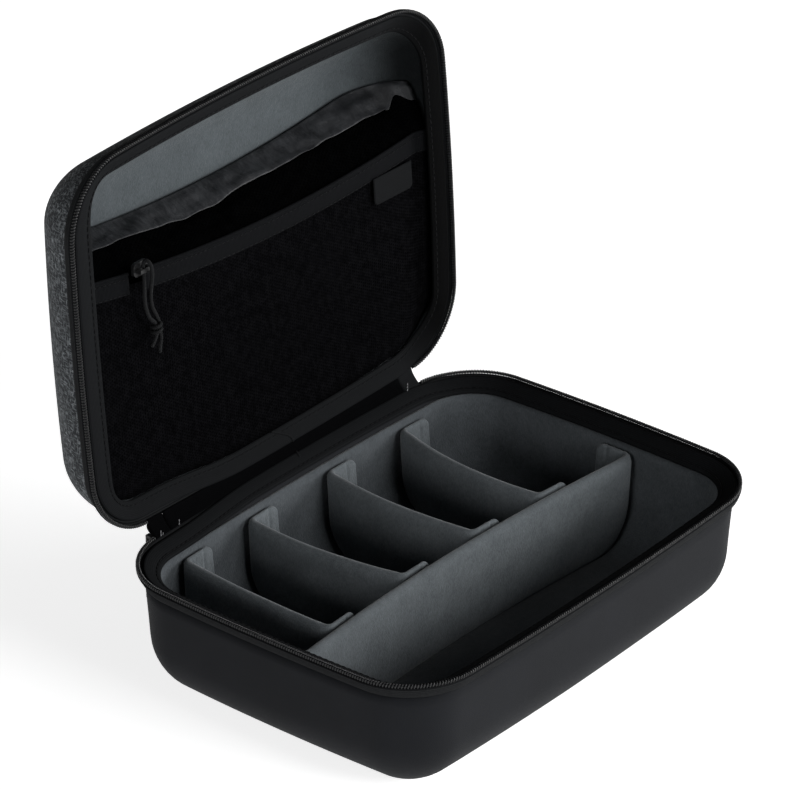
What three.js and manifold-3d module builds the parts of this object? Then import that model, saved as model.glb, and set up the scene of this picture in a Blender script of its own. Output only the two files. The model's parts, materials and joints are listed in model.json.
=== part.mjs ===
// Semi-rigid zip case with a sewn hinge, standing open, with a padded lift-out divider set
// and a zipped mesh pocket in the lid. Millimetres, X along the hinge, +Y to the hinge, +Z up.
import * as THREE from 'three';
import Module from 'manifold-3d';
import { mergeVertices } from 'three/addons/utils/BufferGeometryUtils.js';

const wasm = await Module();
wasm.setup();

// --- driving dimensions ---------------------------------------------------------------
const HALF_W = 125.3; // half the rim's width, along the hinge
const HALF_D = 90; // half the rim's depth
const CORNER_R = 31.9; // plan radius of the rim's corners
const LEAST_R = 9; // plan radius that the bottom's corners keep
const BOW_SHORT = 0.0216; // how far the short sides draw in at their ends, as a share
const BOW_LONG = 0.041; // the same for the long sides
const PARTING_Z = 62.6; // where the two halves of the zip meet
const LIP = 3.9; // the zip band stands this far out from the walls
const WALL_TOP = 54; // top of the base's moulded wall
const DRAFT = 3.4; // draw of the base's wall from its top to its bottom
const BASE_FILLET = 27;
const LID_TOP = 105.4;
const LID_DRAFT = 1.9;
const LID_FILLET = 34.1;
const LID_RIM_BOW = 2.2; // the open lid's rim bends this far towards its back at mid-span
const LID_LEAN = 2.4; // the lid is this much shallower at its far side than at the hinge
const LID_FAR_DRAW = 3.5; // extra draw of the lid's far wall, from its rim to its top
const LID_SIDE_DRAW = 0.8; // the same for its short walls
const WALL = 4.5; // base's moulded foam wall
const FLOOR = 6.2;
const LID_WALL = 3.4; // the lid is moulded thinner, so that the open case stands
const LINING = 1.5;
const GAP = 0.3; // between pieces that touch
const HINGE_Y = 90.77;
const HINGE_Z = 64.4;
const OPEN_DEG = 93.8; // how far the lid stands open
const COIL_R = 1;
const ZIP_END_X = 91.3; // the zip's ends, at the back corners
const TAB_X0 = 80.5; // the sewn tabs over the zip's ends
const DIVIDER_TOP = 52;
const DIVIDER_FOOT = 8.5;
const PAD = 3.2; // thickness of a divider's panel
const FLANGE = 1.6; // thickness of a divider's sewn end flap
const FLANGE_LONG = 20; // length of a flap
const HOOK = 0.5; // thickness of the hook strip behind a flap
const WALL_CLEAR = 0.8; // hook strip to lining
const SHORT_BACK_X = [-85, -40, 14, 64.5];
const SHORT_FRONT_X = [-88, -35, 13.2, 57.6];
const SHORT_BOW = [1.5, 3.6, 3, 4.5];
const MESH_Z = 71.3; // lid pocket's front, in the closed lid
const BAND_W = 10.3; // width of the pocket's zip band
const SLIDER_X = -80; // rest place of the pocket's zip slider
const CORD_D = 1.7;

const SHADES = {
  shell: [0x2b2d30, 0.85], heather: [0x3d4144, 0.95], lining: [0x53575b, 1],
  tape: [0x1d1e20, 0.9], coil: [0x0c0c0d, 0.5], mesh: [0x0a0a0b, 0.9],
  nylon: [0x1b1c1e, 0.7], metal: [0x2a2a2c, 0.4], rubber: [0x18191a, 0.7],
};
const CORNER_STEPS = 6;

// --- plan outline ---------------------------------------------------------------------
const corners = [[1, 1], [-1, 1], [-1, -1], [1, -1]];
const sideSteps = [4, 2, 4, 2];

function outline(inset) {
  const a = HALF_W - inset;
  const b = HALF_D - inset;
  const r = Math.max(CORNER_R - inset, LEAST_R);
  const out = [];
  corners.forEach(([sx, sy], i) => {
    for (let k = 0; k <= CORNER_STEPS; k += 1) {
      const t = (i + k / CORNER_STEPS) * Math.PI / 2;
      out.push([sx * (a - r) + r * Math.cos(t), sy * (b - r) + r * Math.sin(t)]);
    }
    const [nx, ny] = corners[(i + 1) % 4];
    const t = (i + 1) * Math.PI / 2;
    for (let k = 1; k <= sideSteps[i]; k += 1) {
      const f = k / (sideSteps[i] + 1);
      out.push([
        (sx + (nx - sx) * f) * (a - r) + r * Math.cos(t),
        (sy + (ny - sy) * f) * (b - r) + r * Math.sin(t),
      ]);
    }
  });
  return out.map(([x, y]) => [
    x * (1 - BOW_SHORT * (y / b) ** 2),
    y * (1 - BOW_LONG * (x / a) ** 2),
  ]);
}

const longSideY = (x, inset) => (HALF_D - inset) * (1 - BOW_LONG * (x / (HALF_W - inset)) ** 2);
const shortSideX = (y, inset) => (HALF_W - inset) * (1 - BOW_SHORT * (y / (HALF_D - inset)) ** 2);

// --- meshes ---------------------------------------------------------------------------
const group = new THREE.Group();
const asDrawn = (p) => p;

function openLid([x, y, z]) {
  const t = THREE.MathUtils.degToRad(OPEN_DEG);
  const dy = y - HINGE_Y;
  const dz = z - HINGE_Z;
  return [
    x,
    HINGE_Y + dy * Math.cos(t) + dz * Math.sin(t),
    HINGE_Z - dy * Math.sin(t) + dz * Math.cos(t),
  ];
}

function lidRim([x, y, z]) {
  const up = THREE.MathUtils.clamp((z - PARTING_Z) / (LID_TOP - PARTING_Z), 0, 1);
  const far = (HALF_D - y) / (2 * HALF_D);
  const away = 1 - Math.min(1, (x / HALF_W) ** 2);
  return openLid([
    x * (1 - LID_SIDE_DRAW * up / HALF_W),
    y + LID_FAR_DRAW * up * far,
    z + LID_RIM_BOW * (1 - up) * away - LID_LEAN * up * far,
  ]);
}

const mirror = (z) => 2 * PARTING_Z - z;

function geometryOf(points, faces) {
  const g = new THREE.BufferGeometry();
  g.setAttribute('position', new THREE.Float32BufferAttribute(points.flat(), 3));
  let volume = 0;
  for (const [a, b, c] of faces) {
    const [p, q, r] = [points[a], points[b], points[c]];
    volume += p[0] * (q[1] * r[2] - q[2] * r[1]) + p[1] * (q[2] * r[0] - q[0] * r[2])
      + p[2] * (q[0] * r[1] - q[1] * r[0]);
  }
  g.setIndex((volume < 0 ? faces.map(([a, b, c]) => [a, c, b]) : faces).flat());
  return g;
}

function add(name, geometry, shade, place = asDrawn) {
  const at = geometry.getAttribute('position');
  for (let i = 0; i < at.count; i += 1) {
    at.setXYZ(i, ...place([at.getX(i), at.getY(i), at.getZ(i)]));
  }
  geometry.computeVertexNormals();
  const [color, roughness] = SHADES[shade];
  const metalness = shade === 'metal' ? 0.9 : 0;
  const mesh = new THREE.Mesh(
    geometry, new THREE.MeshStandardMaterial({ color, roughness, metalness }),
  );
  mesh.name = name;
  group.add(mesh);
}

// Loops of equal length, joined in order: wrap closes them into a ring, caps close the ends.
function loft(loops, { wrap = false, openLoops = false } = {}) {
  const n = loops[0].length;
  const points = loops.flat();
  const faces = [];
  const rows = wrap ? loops.length : loops.length - 1;
  const cols = openLoops ? n - 1 : n;
  for (let i = 0; i < rows; i += 1) {
    const j = (i + 1) % loops.length;
    for (let k = 0; k < cols; k += 1) {
      const m = (k + 1) % n;
      faces.push([i * n + k, i * n + m, j * n + m], [i * n + k, j * n + m, j * n + k]);
    }
  }
  if (!wrap) {
    [[0, -1], [loops.length - 1, 1]].forEach(([row, way]) => {
      const centre = points.length;
      const sum = loops[row].reduce((s, p) => s.map((v, q) => v + p[q] / n), [0, 0, 0]);
      points.push(sum);
      for (let k = 0; k < n; k += 1) {
        const m = (k + 1) % n;
        faces.push(way > 0 ? [row * n + k, row * n + m, centre] : [row * n + m, row * n + k, centre]);
      }
    });
  }
  return geometryOf(points, faces);
}

const level = ([inset, z]) => outline(inset).map(([x, y]) => [x, y, z]);
const cup = (profile) => loft(profile.map(level));
const ring = (profile) => loft(profile.map(level), { wrap: true });

// A section swept along the rim from one zip end to the other, with flat ends.
function openRing(section) {
  const loops = section.map(level);
  const n = loops[0].length;
  const start = CORNER_STEPS + 1 + sideSteps[0];
  const order = [];
  for (let k = 0; k < n - sideSteps[0]; k += 1) {
    order.push((start + k) % n);
  }
  return loft(order.map((k) => loops.map((loop) => loop[k])));
}

// A closed sheet between two grids of points of the same size.
function sheet(front, back) {
  const rows = front.length;
  const cols = front[0].length;
  const points = [...front.flat(), ...back.flat()];
  const at = (side, i, j) => side * rows * cols + i * cols + j;
  const faces = [];
  const quad = (a, b, c, d) => faces.push([a, b, c], [a, c, d]);
  for (let i = 0; i < rows - 1; i += 1) {
    for (let j = 0; j < cols - 1; j += 1) {
      quad(at(0, i, j), at(0, i, j + 1), at(0, i + 1, j + 1), at(0, i + 1, j));
      quad(at(1, i, j), at(1, i + 1, j), at(1, i + 1, j + 1), at(1, i, j + 1));
    }
  }
  for (let j = 0; j < cols - 1; j += 1) {
    quad(at(0, 0, j + 1), at(0, 0, j), at(1, 0, j), at(1, 0, j + 1));
    quad(at(0, rows - 1, j), at(0, rows - 1, j + 1), at(1, rows - 1, j + 1), at(1, rows - 1, j));
  }
  for (let i = 0; i < rows - 1; i += 1) {
    quad(at(0, i, 0), at(0, i + 1, 0), at(1, i + 1, 0), at(1, i, 0));
    quad(at(0, i + 1, cols - 1), at(0, i, cols - 1), at(1, i, cols - 1), at(1, i + 1, cols - 1));
  }
  return geometryOf(points, faces);
}

function solid(geometry) {
  const g = geometry.clone();
  g.deleteAttribute('normal');
  if (g.getAttribute('uv')) {
    g.deleteAttribute('uv');
  }
  const whole = mergeVertices(g, 1e-4);
  return new wasm.Manifold(new wasm.Mesh({
    numProp: 3,
    vertProperties: new Float32Array(whole.getAttribute('position').array),
    triVerts: new Uint32Array(whole.getIndex().array),
  }));
}

function unsolid(body) {
  const { vertProperties, triVerts } = body.getMesh();
  const g = new THREE.BufferGeometry();
  g.setAttribute('position', new THREE.Float32BufferAttribute(vertProperties, 3));
  g.setIndex([...triVerts]);
  return g;
}

const range = (low, high, steps) => Array.from(
  { length: steps + 1 }, (_, i) => low + (high - low) * i / steps,
);

// Insets and heights of a rounded bottom edge: inset at its top plus draft, radius, floor.
function bowl(top, draft, topZ, r, floorZ, steps) {
  const along = (z) => top + draft * (1 - (z - floorZ) / (topZ - floorZ));
  return range(0, 90, steps).map((deg) => {
    const t = THREE.MathUtils.degToRad(deg);
    const z = floorZ + r * (1 - Math.cos(t));
    return [along(z) + r * (1 - Math.sin(t)), z];
  });
}

// --- base -----------------------------------------------------------------------------
const shellIn = LIP + WALL;
const liningOut = shellIn + GAP;
const liningIn = liningOut + LINING;
const liningFloor = FLOOR + GAP + LINING;
const INNER_R = 21;

const baseOut = [...bowl(LIP, DRAFT, WALL_TOP, BASE_FILLET, 0, 6), [LIP, WALL_TOP]];
// The foam's edge slopes inwards under the bindings, as far in as the wall is thick.
const rimCore = (inner) => [[5.5, 54.1], [5.5, 54.5], [2.9, 58.2], [inner, 58.2 - 0.51 * (inner - 2.9)]];
const baseIn = bowl(shellIn, DRAFT, WALL_TOP, INNER_R + 1.8, FLOOR, 5).reverse();
add('base_shell', cup([...baseOut, ...rimCore(shellIn), ...baseIn]), 'shell');

const liningProfile = [
  ...bowl(liningOut, DRAFT, WALL_TOP, INNER_R + 1.5, FLOOR + GAP, 5),
  [liningOut, 54.4], [liningIn, 54.4],
  ...bowl(liningIn, DRAFT, WALL_TOP, INNER_R, liningFloor, 5).reverse(),
];
add('base_lining', cup(liningProfile), 'lining');

const outerBand = [[LIP, 54.4], [0.1, 59.7], [0.4, 60.2], [1.3, 60.2], [5.1, 54.6]];
const innerBand = [[1.75, 60.2], [2.4, 60.8], [10.8, 56], [10.2, 55], [2.2, 59.4]];
const coilRing = range(0, 360, 6).slice(0, 6).map((deg) => {
  const t = THREE.MathUtils.degToRad(deg);
  return [0.9 + COIL_R * Math.cos(t), 61.5 + COIL_R * Math.sin(t)];
});
add('base_zip_tape', ring(outerBand), 'tape');
add('base_rim_binding', ring(innerBand), 'tape');
add('base_zip_coil', openRing(coilRing), 'coil');

// --- lid, drawn closed and then swung open --------------------------------------------
const toLid = (profile) => profile.map(([inset, z]) => [inset, mirror(z)]);
const lidWallTop = mirror(WALL_TOP);
function dome(top, r, ceiling, steps) {
  const draft = LID_DRAFT;
  return range(0, 90, steps).map((deg) => {
    const t = THREE.MathUtils.degToRad(deg);
    const z = ceiling - r * (1 - Math.cos(t));
    return [top + draft * (z - lidWallTop) / (ceiling - lidWallTop) + r * (1 - Math.sin(t)), z];
  });
}
const lidShellIn = LIP + LID_WALL;
const lidLiningOut = lidShellIn + GAP;
const lidLiningIn = lidLiningOut + LINING;
const lidCeiling = LID_TOP - LID_WALL;
const lidShell = [
  ...dome(LIP, LID_FILLET, LID_TOP, 7),
  ...toLid(rimCore(lidShellIn)),
  ...dome(lidShellIn, LID_FILLET - LID_WALL, lidCeiling, 6).reverse(),
];
add('lid_shell', cup(lidShell), 'heather', lidRim);
const lidInnerR = LID_FILLET - LID_WALL - 1.8;
const lidInnerZ = lidCeiling - GAP - LINING;
const lidLining = [
  ...dome(lidLiningOut, LID_FILLET - LID_WALL - 0.3, lidCeiling - GAP, 6),
  [lidLiningOut, mirror(54.4)], [lidLiningIn, mirror(54.4)],
  ...dome(lidLiningIn, lidInnerR, lidInnerZ, 6).reverse(),
];
add('lid_lining', cup(lidLining), 'lining', lidRim);
add('lid_zip_tape', ring(toLid(outerBand)), 'tape', lidRim);
// On the short sides the pocket's net draws the lid's binding nearly flat, and further in.
const flatBand = [[1.75, 60.2], [2.4, 60.8], [14.5, 60.6], [14.2, 59.6], [2.2, 59.6]];
const flatShare = outline(0).map(([x]) => Math.max(0, 1 - (HALF_W - Math.abs(x)) / CORNER_R) ** 2);
const lidBinding = innerBand.map((_, i) => {
  const flat = level(toLid(flatBand)[i]);
  return level(toLid(innerBand)[i]).map((p, k) => p.map((v, q) => v + (flat[k][q] - v) * flatShare[k]));
});
add('lid_rim_binding', loft(lidBinding, { wrap: true }), 'tape', lidRim);
add('lid_zip_coil', openRing(toLid(coilRing)), 'coil', lidRim);

// --- sewn hinge -----------------------------------------------------------------------
function hingePiece(name, x0, x1, thick, out) {
  const xs = range(x0, x1, Math.max(2, Math.round((x1 - x0) / 16)));
  const strip = (inset, bulge) => xs.map((x) => {
    const low = [x, longSideY(x, inset), PARTING_Z - 1.4];
    const high = lidRim([x, longSideY(x, inset), PARTING_Z + 1.4]);
    const mid = [x, (low[1] + high[1]) / 2 + bulge, (low[2] + high[2]) / 2];
    return [low, mid, high];
  });
  add(name, sheet(strip(1.7, out), strip(1.7 - thick, out + thick)), 'tape');
}
hingePiece('hinge_strip', -TAB_X0, TAB_X0, 1, 0.8);
hingePiece('hinge_tab_left', -ZIP_END_X + 0.6, -TAB_X0 - GAP, 1.6, 1);
hingePiece('hinge_tab_right', TAB_X0 + GAP, ZIP_END_X - 0.6, 1.6, 1);

// --- main zip sliders, parked behind the hinge's ends ---------------------------------
const boxAt = (w, d, h, x, y, z) => new THREE.BoxGeometry(w, d, h).translate(x, y, z);
function slab(w, h, thick, r) {
  const s = new THREE.Shape();
  s.absarc(w / 2 - r, h / 2 - r, r, 0, Math.PI / 2);
  s.absarc(-w / 2 + r, h / 2 - r, r, Math.PI / 2, Math.PI);
  s.absarc(-w / 2 + r, -h / 2 + r, r, Math.PI, 1.5 * Math.PI);
  s.absarc(w / 2 - r, -h / 2 + r, r, 1.5 * Math.PI, 2 * Math.PI);
  return new THREE.ExtrudeGeometry(s, { depth: thick, bevelEnabled: false, curveSegments: 3 });
}
const whole = (geometry) => unsolid(solid(geometry));
for (const [side, sign] of [['left', -1], ['right', 1]]) {
  const x = sign * 86;
  const y = longSideY(x, 0) + 0.7;
  const body = solid(slab(7.6, 9.5, 2.6, 2.4).rotateX(Math.PI / 2).translate(x, y + 2.6, 55));
  const bail = solid(boxAt(2.2, 4.9, 6, x, y + 4.75, 55));
  const eye = solid(boxAt(3, 3.6, 3.6, x, y + 4.5, 55));
  add(`zip_slider_${side}`, unsolid(body.add(bail).subtract(eye)), 'metal');
  // The pull's end bar turns inside the bail's eye, and the bail passes through its slot.
  const plate = solid(slab(7, 30, 1.5, 2.6).rotateX(Math.PI / 2).translate(x, y + 5.5, 41.3));
  const slot = solid(boxAt(3.2, 4, 3.2, x, y + 5, 52.1));
  add(`zip_pull_${side}`, unsolid(plate.subtract(slot)), 'rubber');
}

// --- dividers -------------------------------------------------------------------------
// Inside of the base lining at a height: how far it stands in from the rim.
function innerInset(z) {
  const along = liningIn + DRAFT * (1 - (z - liningFloor) / (WALL_TOP - liningFloor));
  const up = Math.min(INNER_R, z - liningFloor);
  return along + INNER_R - Math.sqrt(Math.max(0, INNER_R ** 2 - (INNER_R - up) ** 2));
}

// The room inside the lining, less a margin at the walls: panels are cut to it.
const heights = [DIVIDER_FOOT, 9.5, 11, 13, 16, 20, 25, 31, WALL_TOP, 80];
function room(margin) {
  return solid(cup(heights.map((z) => [innerInset(Math.min(z, WALL_TOP)) + margin, z])));
}
const hookOff = WALL_CLEAR;
const flangeOff = hookOff + HOOK + GAP;
const panelOff = flangeOff + FLANGE + GAP;
const panelRoom = room(panelOff);

// A panel standing on a plan curve, cut to the room.
function panel(name, curve, steps) {
  const side = (off) => range(0, 1, steps).map((t) => {
    const [x, y] = curve(t);
    const [x1, y1] = curve(t + 0.001);
    const len = Math.hypot(x1 - x, y1 - y);
    return [x - (y1 - y) / len * off, y + (x1 - x) / len * off];
  });
  const wall = (off) => {
    const line = side(off);
    return [DIVIDER_FOOT - 1, DIVIDER_TOP].map((z) => line.map(([x, y]) => [x, y, z]));
  };
  const body = solid(sheet(wall(-PAD / 2), wall(PAD / 2))).intersect(panelRoom);
  add(name, unsolid(body), 'lining');
}

// A patch that lies against something: place(u, z, off) gives its points.
function patch(name, place, u0, u1, z0, off, thick, shade, top = DIVIDER_TOP) {
  const us = range(u0, u1, 2);
  const zs = [z0, ...heights.filter((z) => z > z0 + 1 && z < top - 1), top];
  const grid = (d) => zs.map((z) => us.map((u) => place(u, z, d)));
  add(name, sheet(grid(off), grid(off + thick)), shade);
}

const longFront = (x) => -10.3 - 8.7 * ((x + 12) / 126) ** 2;
const longMid = (x) => longFront(x) + PAD / 2;
const longBack = (x) => longFront(x) + PAD;
panel('long_divider_panel', (t) => [-118 + 236 * t, longMid(-118 + 236 * t)], 16);
const FLAP_FOOT = 13;
for (const [side, sign] of [['left', -1], ['right', 1]]) {
  const y0 = longMid(sign * 113) - PAD / 2;
  const wall = (y, z, off) => [sign * shortSideX(y, innerInset(z) + off), y, z];
  patch(`long_divider_flap_${side}`, wall, y0, y0 + FLANGE_LONG, FLAP_FOOT, flangeOff, FLANGE, 'lining');
  patch(`long_divider_hook_${side}`, wall, y0 + 2, y0 + FLANGE_LONG - 1, FLAP_FOOT + 2,
    hookOff, HOOK, 'tape', DIVIDER_TOP - 3);
}

SHORT_BACK_X.forEach((backX, i) => {
  const id = i + 1;
  const frontX = SHORT_FRONT_X[i];
  const frontY = longBack(frontX) + HOOK + FLANGE + 4.5 * GAP;
  const curve = (t) => {
    const bow = -4 * SHORT_BOW[i] * t * (1 - t);
    return [frontX + (backX - frontX) * t + bow, frontY + (86 - frontY) * t];
  };
  panel(`short_divider_${id}_panel`, curve, 6);
  const back = (x, z, off) => [x, longSideY(x, innerInset(z) + off), z];
  const x0 = backX - PAD / 2;
  patch(`short_divider_${id}_flap_back`, back, x0, x0 + FLANGE_LONG, FLAP_FOOT, flangeOff, FLANGE, 'lining');
  patch(`short_divider_${id}_hook_back`, back, x0 + 2, x0 + FLANGE_LONG - 1, FLAP_FOOT + 2,
    hookOff, HOOK, 'tape', DIVIDER_TOP - 3);
  const front = (x, z, off) => [x, longBack(x) + off, z];
  const x1 = frontX - PAD / 2;
  patch(`short_divider_${id}_flap_front`, front, x1, x1 + FLANGE_LONG, DIVIDER_FOOT,
    HOOK + 2 * GAP, FLANGE, 'lining');
  patch(`short_divider_${id}_hook_front`, front, x1 + 2, x1 + FLANGE_LONG - 1, DIVIDER_FOOT + 3,
    GAP, HOOK, 'tape', DIVIDER_TOP - 3);
});

// --- lid pocket, in the closed lid ----------------------------------------------------
const bandTop = (x) => -19.8 - 6.5 * ((x - 35) / 105) ** 2;
const seamY = (x) => -35.3 - 8 * (x / 107) ** 2;
const ROOF_CLEAR = 2.9; // from the lining as drawn before it leans, to the roof's upper edge
const ceilingAt = (x) => {
  const over = Math.max(0, Math.abs(x) - (HALF_W - lidLiningIn - LID_DRAFT - lidInnerR));
  return lidInnerZ - lidInnerR + Math.sqrt(Math.max(0, lidInnerR ** 2 - over ** 2)) - ROOF_CLEAR;
};
const pocketInset = 11.2; // clears the inner edge of the lid's binding
const MESH_SAG = 1.2; // the pocket's front bellies this far

function meshZ(x, y) {
  return MESH_Z - MESH_SAG * (1 - (x / HALF_W) ** 2) * (1 - (y / HALF_D) ** 2);
}
// The pocket's front: rows from the zip band down to the hinge side of the rim.
function pocketFront(off) {
  const a = HALF_W - pocketInset;
  const b = HALF_D - pocketInset;
  const r = CORNER_R - pocketInset;
  return range(-0.985, 0.985, 14).map((u) => {
    const over = Math.max(0, Math.abs(u) * a - (a - r));
    const low = b - r + Math.sqrt(r ** 2 - over ** 2);
    const high = bandTop(u * a) + 6.5;
    return range(0, 1, 7).map((t) => {
      const y = high + (low - high) * t;
      const x = u * a * (1 - BOW_SHORT * (y / b) ** 2);
      const bent = y * (1 - BOW_LONG * u ** 2 * t);
      return [x, bent, meshZ(x, bent) + off];
    });
  });
}
add('pocket_mesh', sheet(pocketFront(0), pocketFront(0.8)), 'mesh', openLid);

// The band over the mesh's upper edge holds the pocket's zip.
function band(name, x0, x1, steps) {
  const rows = (off) => range(x0, x1, steps).map((x) => range(0, 1, 2).map((t) => {
    const y = bandTop(x) + BAND_W * t;
    return [x, y, meshZ(x, y) - off];
  }));
  add(name, sheet(rows(1.3), rows(0.3)), 'tape', openLid);
}
const bandEnd = shortSideX(-25, pocketInset) - 0.5;
band('pocket_band_left', -bandEnd, SLIDER_X - 5, 2);
band('pocket_band_right', SLIDER_X + 5, bandEnd, 12);

// The roof of the pocket: a mesh strip above the band, then plain cloth up to the lining.
function roof(name, t0, t1, rows, shade) {
  const end = shortSideX(-40, pocketInset) - 2.5;
  const grid = (dy, dz) => range(-end, end, 14).map((x) => range(t0, t1, rows).map((t) => {
    const z0 = meshZ(x, bandTop(x)) + 0.2;
    const y = bandTop(x) + 1 + (seamY(x) - bandTop(x) - 1) * t - 2 * Math.sin(Math.PI * t);
    return [x, y + dy, z0 + (ceilingAt(x) - z0) * t + dz];
  }));
  add(name, sheet(grid(0, 0), grid(0.8, 0.3)), shade, openLid);
}
roof('pocket_roof_mesh', 0, 0.48, 3, 'mesh');
roof('pocket_roof', 0.5, 1, 3, 'nylon');

// Blank sewn-in label, hanging from the band's lower edge.
const labelAt = (dx, dy) => {
  const x = 76 + dx;
  const y = bandTop(76) + 0.9 * BAND_W + 0.02 * dx + dy;
  return [x, y, meshZ(x, y) - 1.6];
};
const labelGrid = (off) => range(0, 27, 2).map((dx) => range(0, 13, 1).map((dy) => {
  const [x, y, z] = labelAt(dx, dy);
  return [x, y, z - off];
}));
add('pocket_label', sheet(labelGrid(0.5), labelGrid(0)), 'tape', openLid);

// The pocket's zip slider stands clear of the band all along its way. Its bail runs along the zip.
const sliderY = bandTop(SLIDER_X) - 1.5;
const sliderZ = MESH_Z - MESH_SAG - 3.35;
const sliderBody = solid(slab(9, 6.4, 1.6, 2).translate(SLIDER_X, sliderY, sliderZ));
const sliderBail = solid(boxAt(7, 1.8, 3.6, SLIDER_X, sliderY, sliderZ - 1.4));
const sliderEye = solid(boxAt(4.6, 3, 2.5, SLIDER_X, sliderY, sliderZ - 1.45));
add('pocket_slider', unsolid(sliderBody.add(sliderBail).subtract(sliderEye)), 'metal', openLid);

// A knotted cord through the bail, as its two strands, which meet inside it: the left one hangs
// from there to its tail, and the right one goes over the bail, and twice round the left one.
// Points are offsets from the slider's middle.
const cordSection = new THREE.Shape(range(0, 360, 8).slice(0, 8).map((deg) => {
  const t = THREE.MathUtils.degToRad(deg);
  return new THREE.Vector2(CORD_D / 2 * Math.cos(t), CORD_D / 2 * Math.sin(t));
}));
function strand(name, points, steps) {
  const along = points.map(
    ([x, y, z]) => new THREE.Vector3(SLIDER_X + x, sliderY + y, sliderZ + z),
  );
  const extrudePath = new THREE.CatmullRomCurve3(along, false, 'centripetal');
  const tube = new THREE.ExtrudeGeometry(cordSection, { steps, extrudePath });
  add(name, whole(tube), 'rubber', openLid);
}
const HANG_Z = -2; // the strands hang in front of the mesh
const KNOT_X = 4.6;
const KNOT_Y = 27.2;
strand('pocket_pull_cord_left', [
  [0, 0.2, -1.45], [0, 2.2, -1.5], [-0.4, 4.6, -1.8], [-0.8, 8, HANG_Z], [-1.2, 12, HANG_Z],
  [-1.1, 16.5, HANG_Z], [-0.2, 20.5, HANG_Z], [1.4, 23.8, HANG_Z], [3.6, 26.2, HANG_Z],
  [KNOT_X, 28.6, HANG_Z], [KNOT_X, 31.6, HANG_Z], [3, 34.4, HANG_Z], [0.6, 37, HANG_Z],
], 30);
const turns = range(0, 720, 16).map((deg, k) => {
  const t = THREE.MathUtils.degToRad(deg);
  const r = CORD_D + 0.25;
  return [KNOT_X + r * Math.cos(t), KNOT_Y + k * 0.3, HANG_Z - r * Math.sin(t)];
});
strand('pocket_pull_cord_right', [
  [0, -0.2, -1.45], [0, -2, -1.5], [0.1, -3.7, -2.2], [0.4, -4.3, -3.4], [0.9, -3, -4.7],
  [1.4, -0.5, -5], [2.1, 2.8, -4.3], [2.9, 6.5, -3], [2.9, 10.5, -2.2], [2.6, 15, HANG_Z],
  [3.2, 19.4, HANG_Z], [5, 23.2, HANG_Z],
  ...turns,
  [7, 35, HANG_Z], [6, 38.4, HANG_Z], [5.5, 41.6, HANG_Z],
], 70);

export default group;
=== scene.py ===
"""The looks of a semi-rigid zip case that stands open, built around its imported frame."""
import json
import math

import bmesh
import bpy
import numpy as np
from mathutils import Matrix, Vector, noise


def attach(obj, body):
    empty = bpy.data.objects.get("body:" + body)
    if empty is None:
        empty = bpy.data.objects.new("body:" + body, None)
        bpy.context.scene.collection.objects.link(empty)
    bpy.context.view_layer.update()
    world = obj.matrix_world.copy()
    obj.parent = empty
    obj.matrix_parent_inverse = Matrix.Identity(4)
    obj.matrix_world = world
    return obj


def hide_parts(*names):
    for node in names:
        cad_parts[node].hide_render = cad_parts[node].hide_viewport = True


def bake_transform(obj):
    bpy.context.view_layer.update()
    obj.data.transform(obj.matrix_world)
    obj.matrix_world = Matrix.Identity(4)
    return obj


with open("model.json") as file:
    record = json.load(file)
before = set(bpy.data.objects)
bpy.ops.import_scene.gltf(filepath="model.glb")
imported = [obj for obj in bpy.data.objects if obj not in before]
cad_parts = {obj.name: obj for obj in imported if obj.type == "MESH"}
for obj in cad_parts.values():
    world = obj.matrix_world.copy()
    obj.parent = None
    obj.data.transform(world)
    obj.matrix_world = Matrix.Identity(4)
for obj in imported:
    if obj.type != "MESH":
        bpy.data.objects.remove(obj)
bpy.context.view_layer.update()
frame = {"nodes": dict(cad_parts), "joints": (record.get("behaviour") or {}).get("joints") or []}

MM = 0.001  # the case is drawn in millimetres

# --- camera ---------------------------------------------------------------------------------
AZIMUTH, ELEVATION, DISTANCE = -50.77, 28.60, 2.214
LOOK_AT = Vector((0.0286, 0.0505, 0.0942))


def add_camera():
    data = bpy.data.cameras.new("camera")
    data.lens, data.sensor_width = 228.2, 36
    camera = bpy.data.objects.new("camera", data)
    bpy.context.scene.collection.objects.link(camera)
    a, e = math.radians(AZIMUTH), math.radians(ELEVATION)
    ahead = Vector((-math.sin(a) * math.cos(e), math.cos(a) * math.cos(e), -math.sin(e)))
    camera.location = LOOK_AT - DISTANCE * ahead
    camera.rotation_euler = ahead.to_track_quat("-Z", "Y").to_euler()
    bpy.context.scene.camera = camera


add_camera()

# --- driving dimensions, as in the part -----------------------------------------------------
HALF_W, HALF_D = 125.3, 90
CORNER_R, LEAST_R = 31.9, 9
BOW_SHORT, BOW_LONG = 0.0216, 0.041
PARTING_Z = 62.6
LIP, WALL_TOP, DRAFT = 3.9, 54, 3.4
BASE_FILLET, LID_TOP, LID_DRAFT, LID_FILLET, LID_RIM_BOW = 27, 105.4, 1.9, 34.1, 2.2
LID_LEAN, LID_FAR_DRAW, LID_SIDE_DRAW = 2.4, 3.5, 0.8
WALL, FLOOR, LID_WALL, LINING, GAP = 4.5, 6.2, 3.4, 1.5, 0.3
ZIP_END_X, TAB_X0 = 91.3, 80.5
DIVIDER_TOP, DIVIDER_FOOT, FLAP_FOOT = 52, 8.5, 13
PAD, FLANGE, FLANGE_LONG, HOOK, WALL_CLEAR = 3.2, 1.6, 20, 0.5, 0.8
SHORT_BACK_X = (-85, -40, 14, 64.5)
SHORT_FRONT_X = (-88, -35, 13.2, 57.6)
SHORT_BOW = (1.5, 3.6, 3, 4.5)
MESH_Z, MESH_SAG, BAND_W, SLIDER_X, CORD_D = 71.3, 1.2, 10.3, -80, 1.7
HINGE_SAG, BASE_SAG = 3, 2.2
POCKET_INSET, ROOF_CLEAR = 11.2, 2.9
INNER_R = 21
FOAM_TOP, LINING_TOP = 54.1, 54.4  # where the foam's edge and the linings start, under the rim
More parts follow.
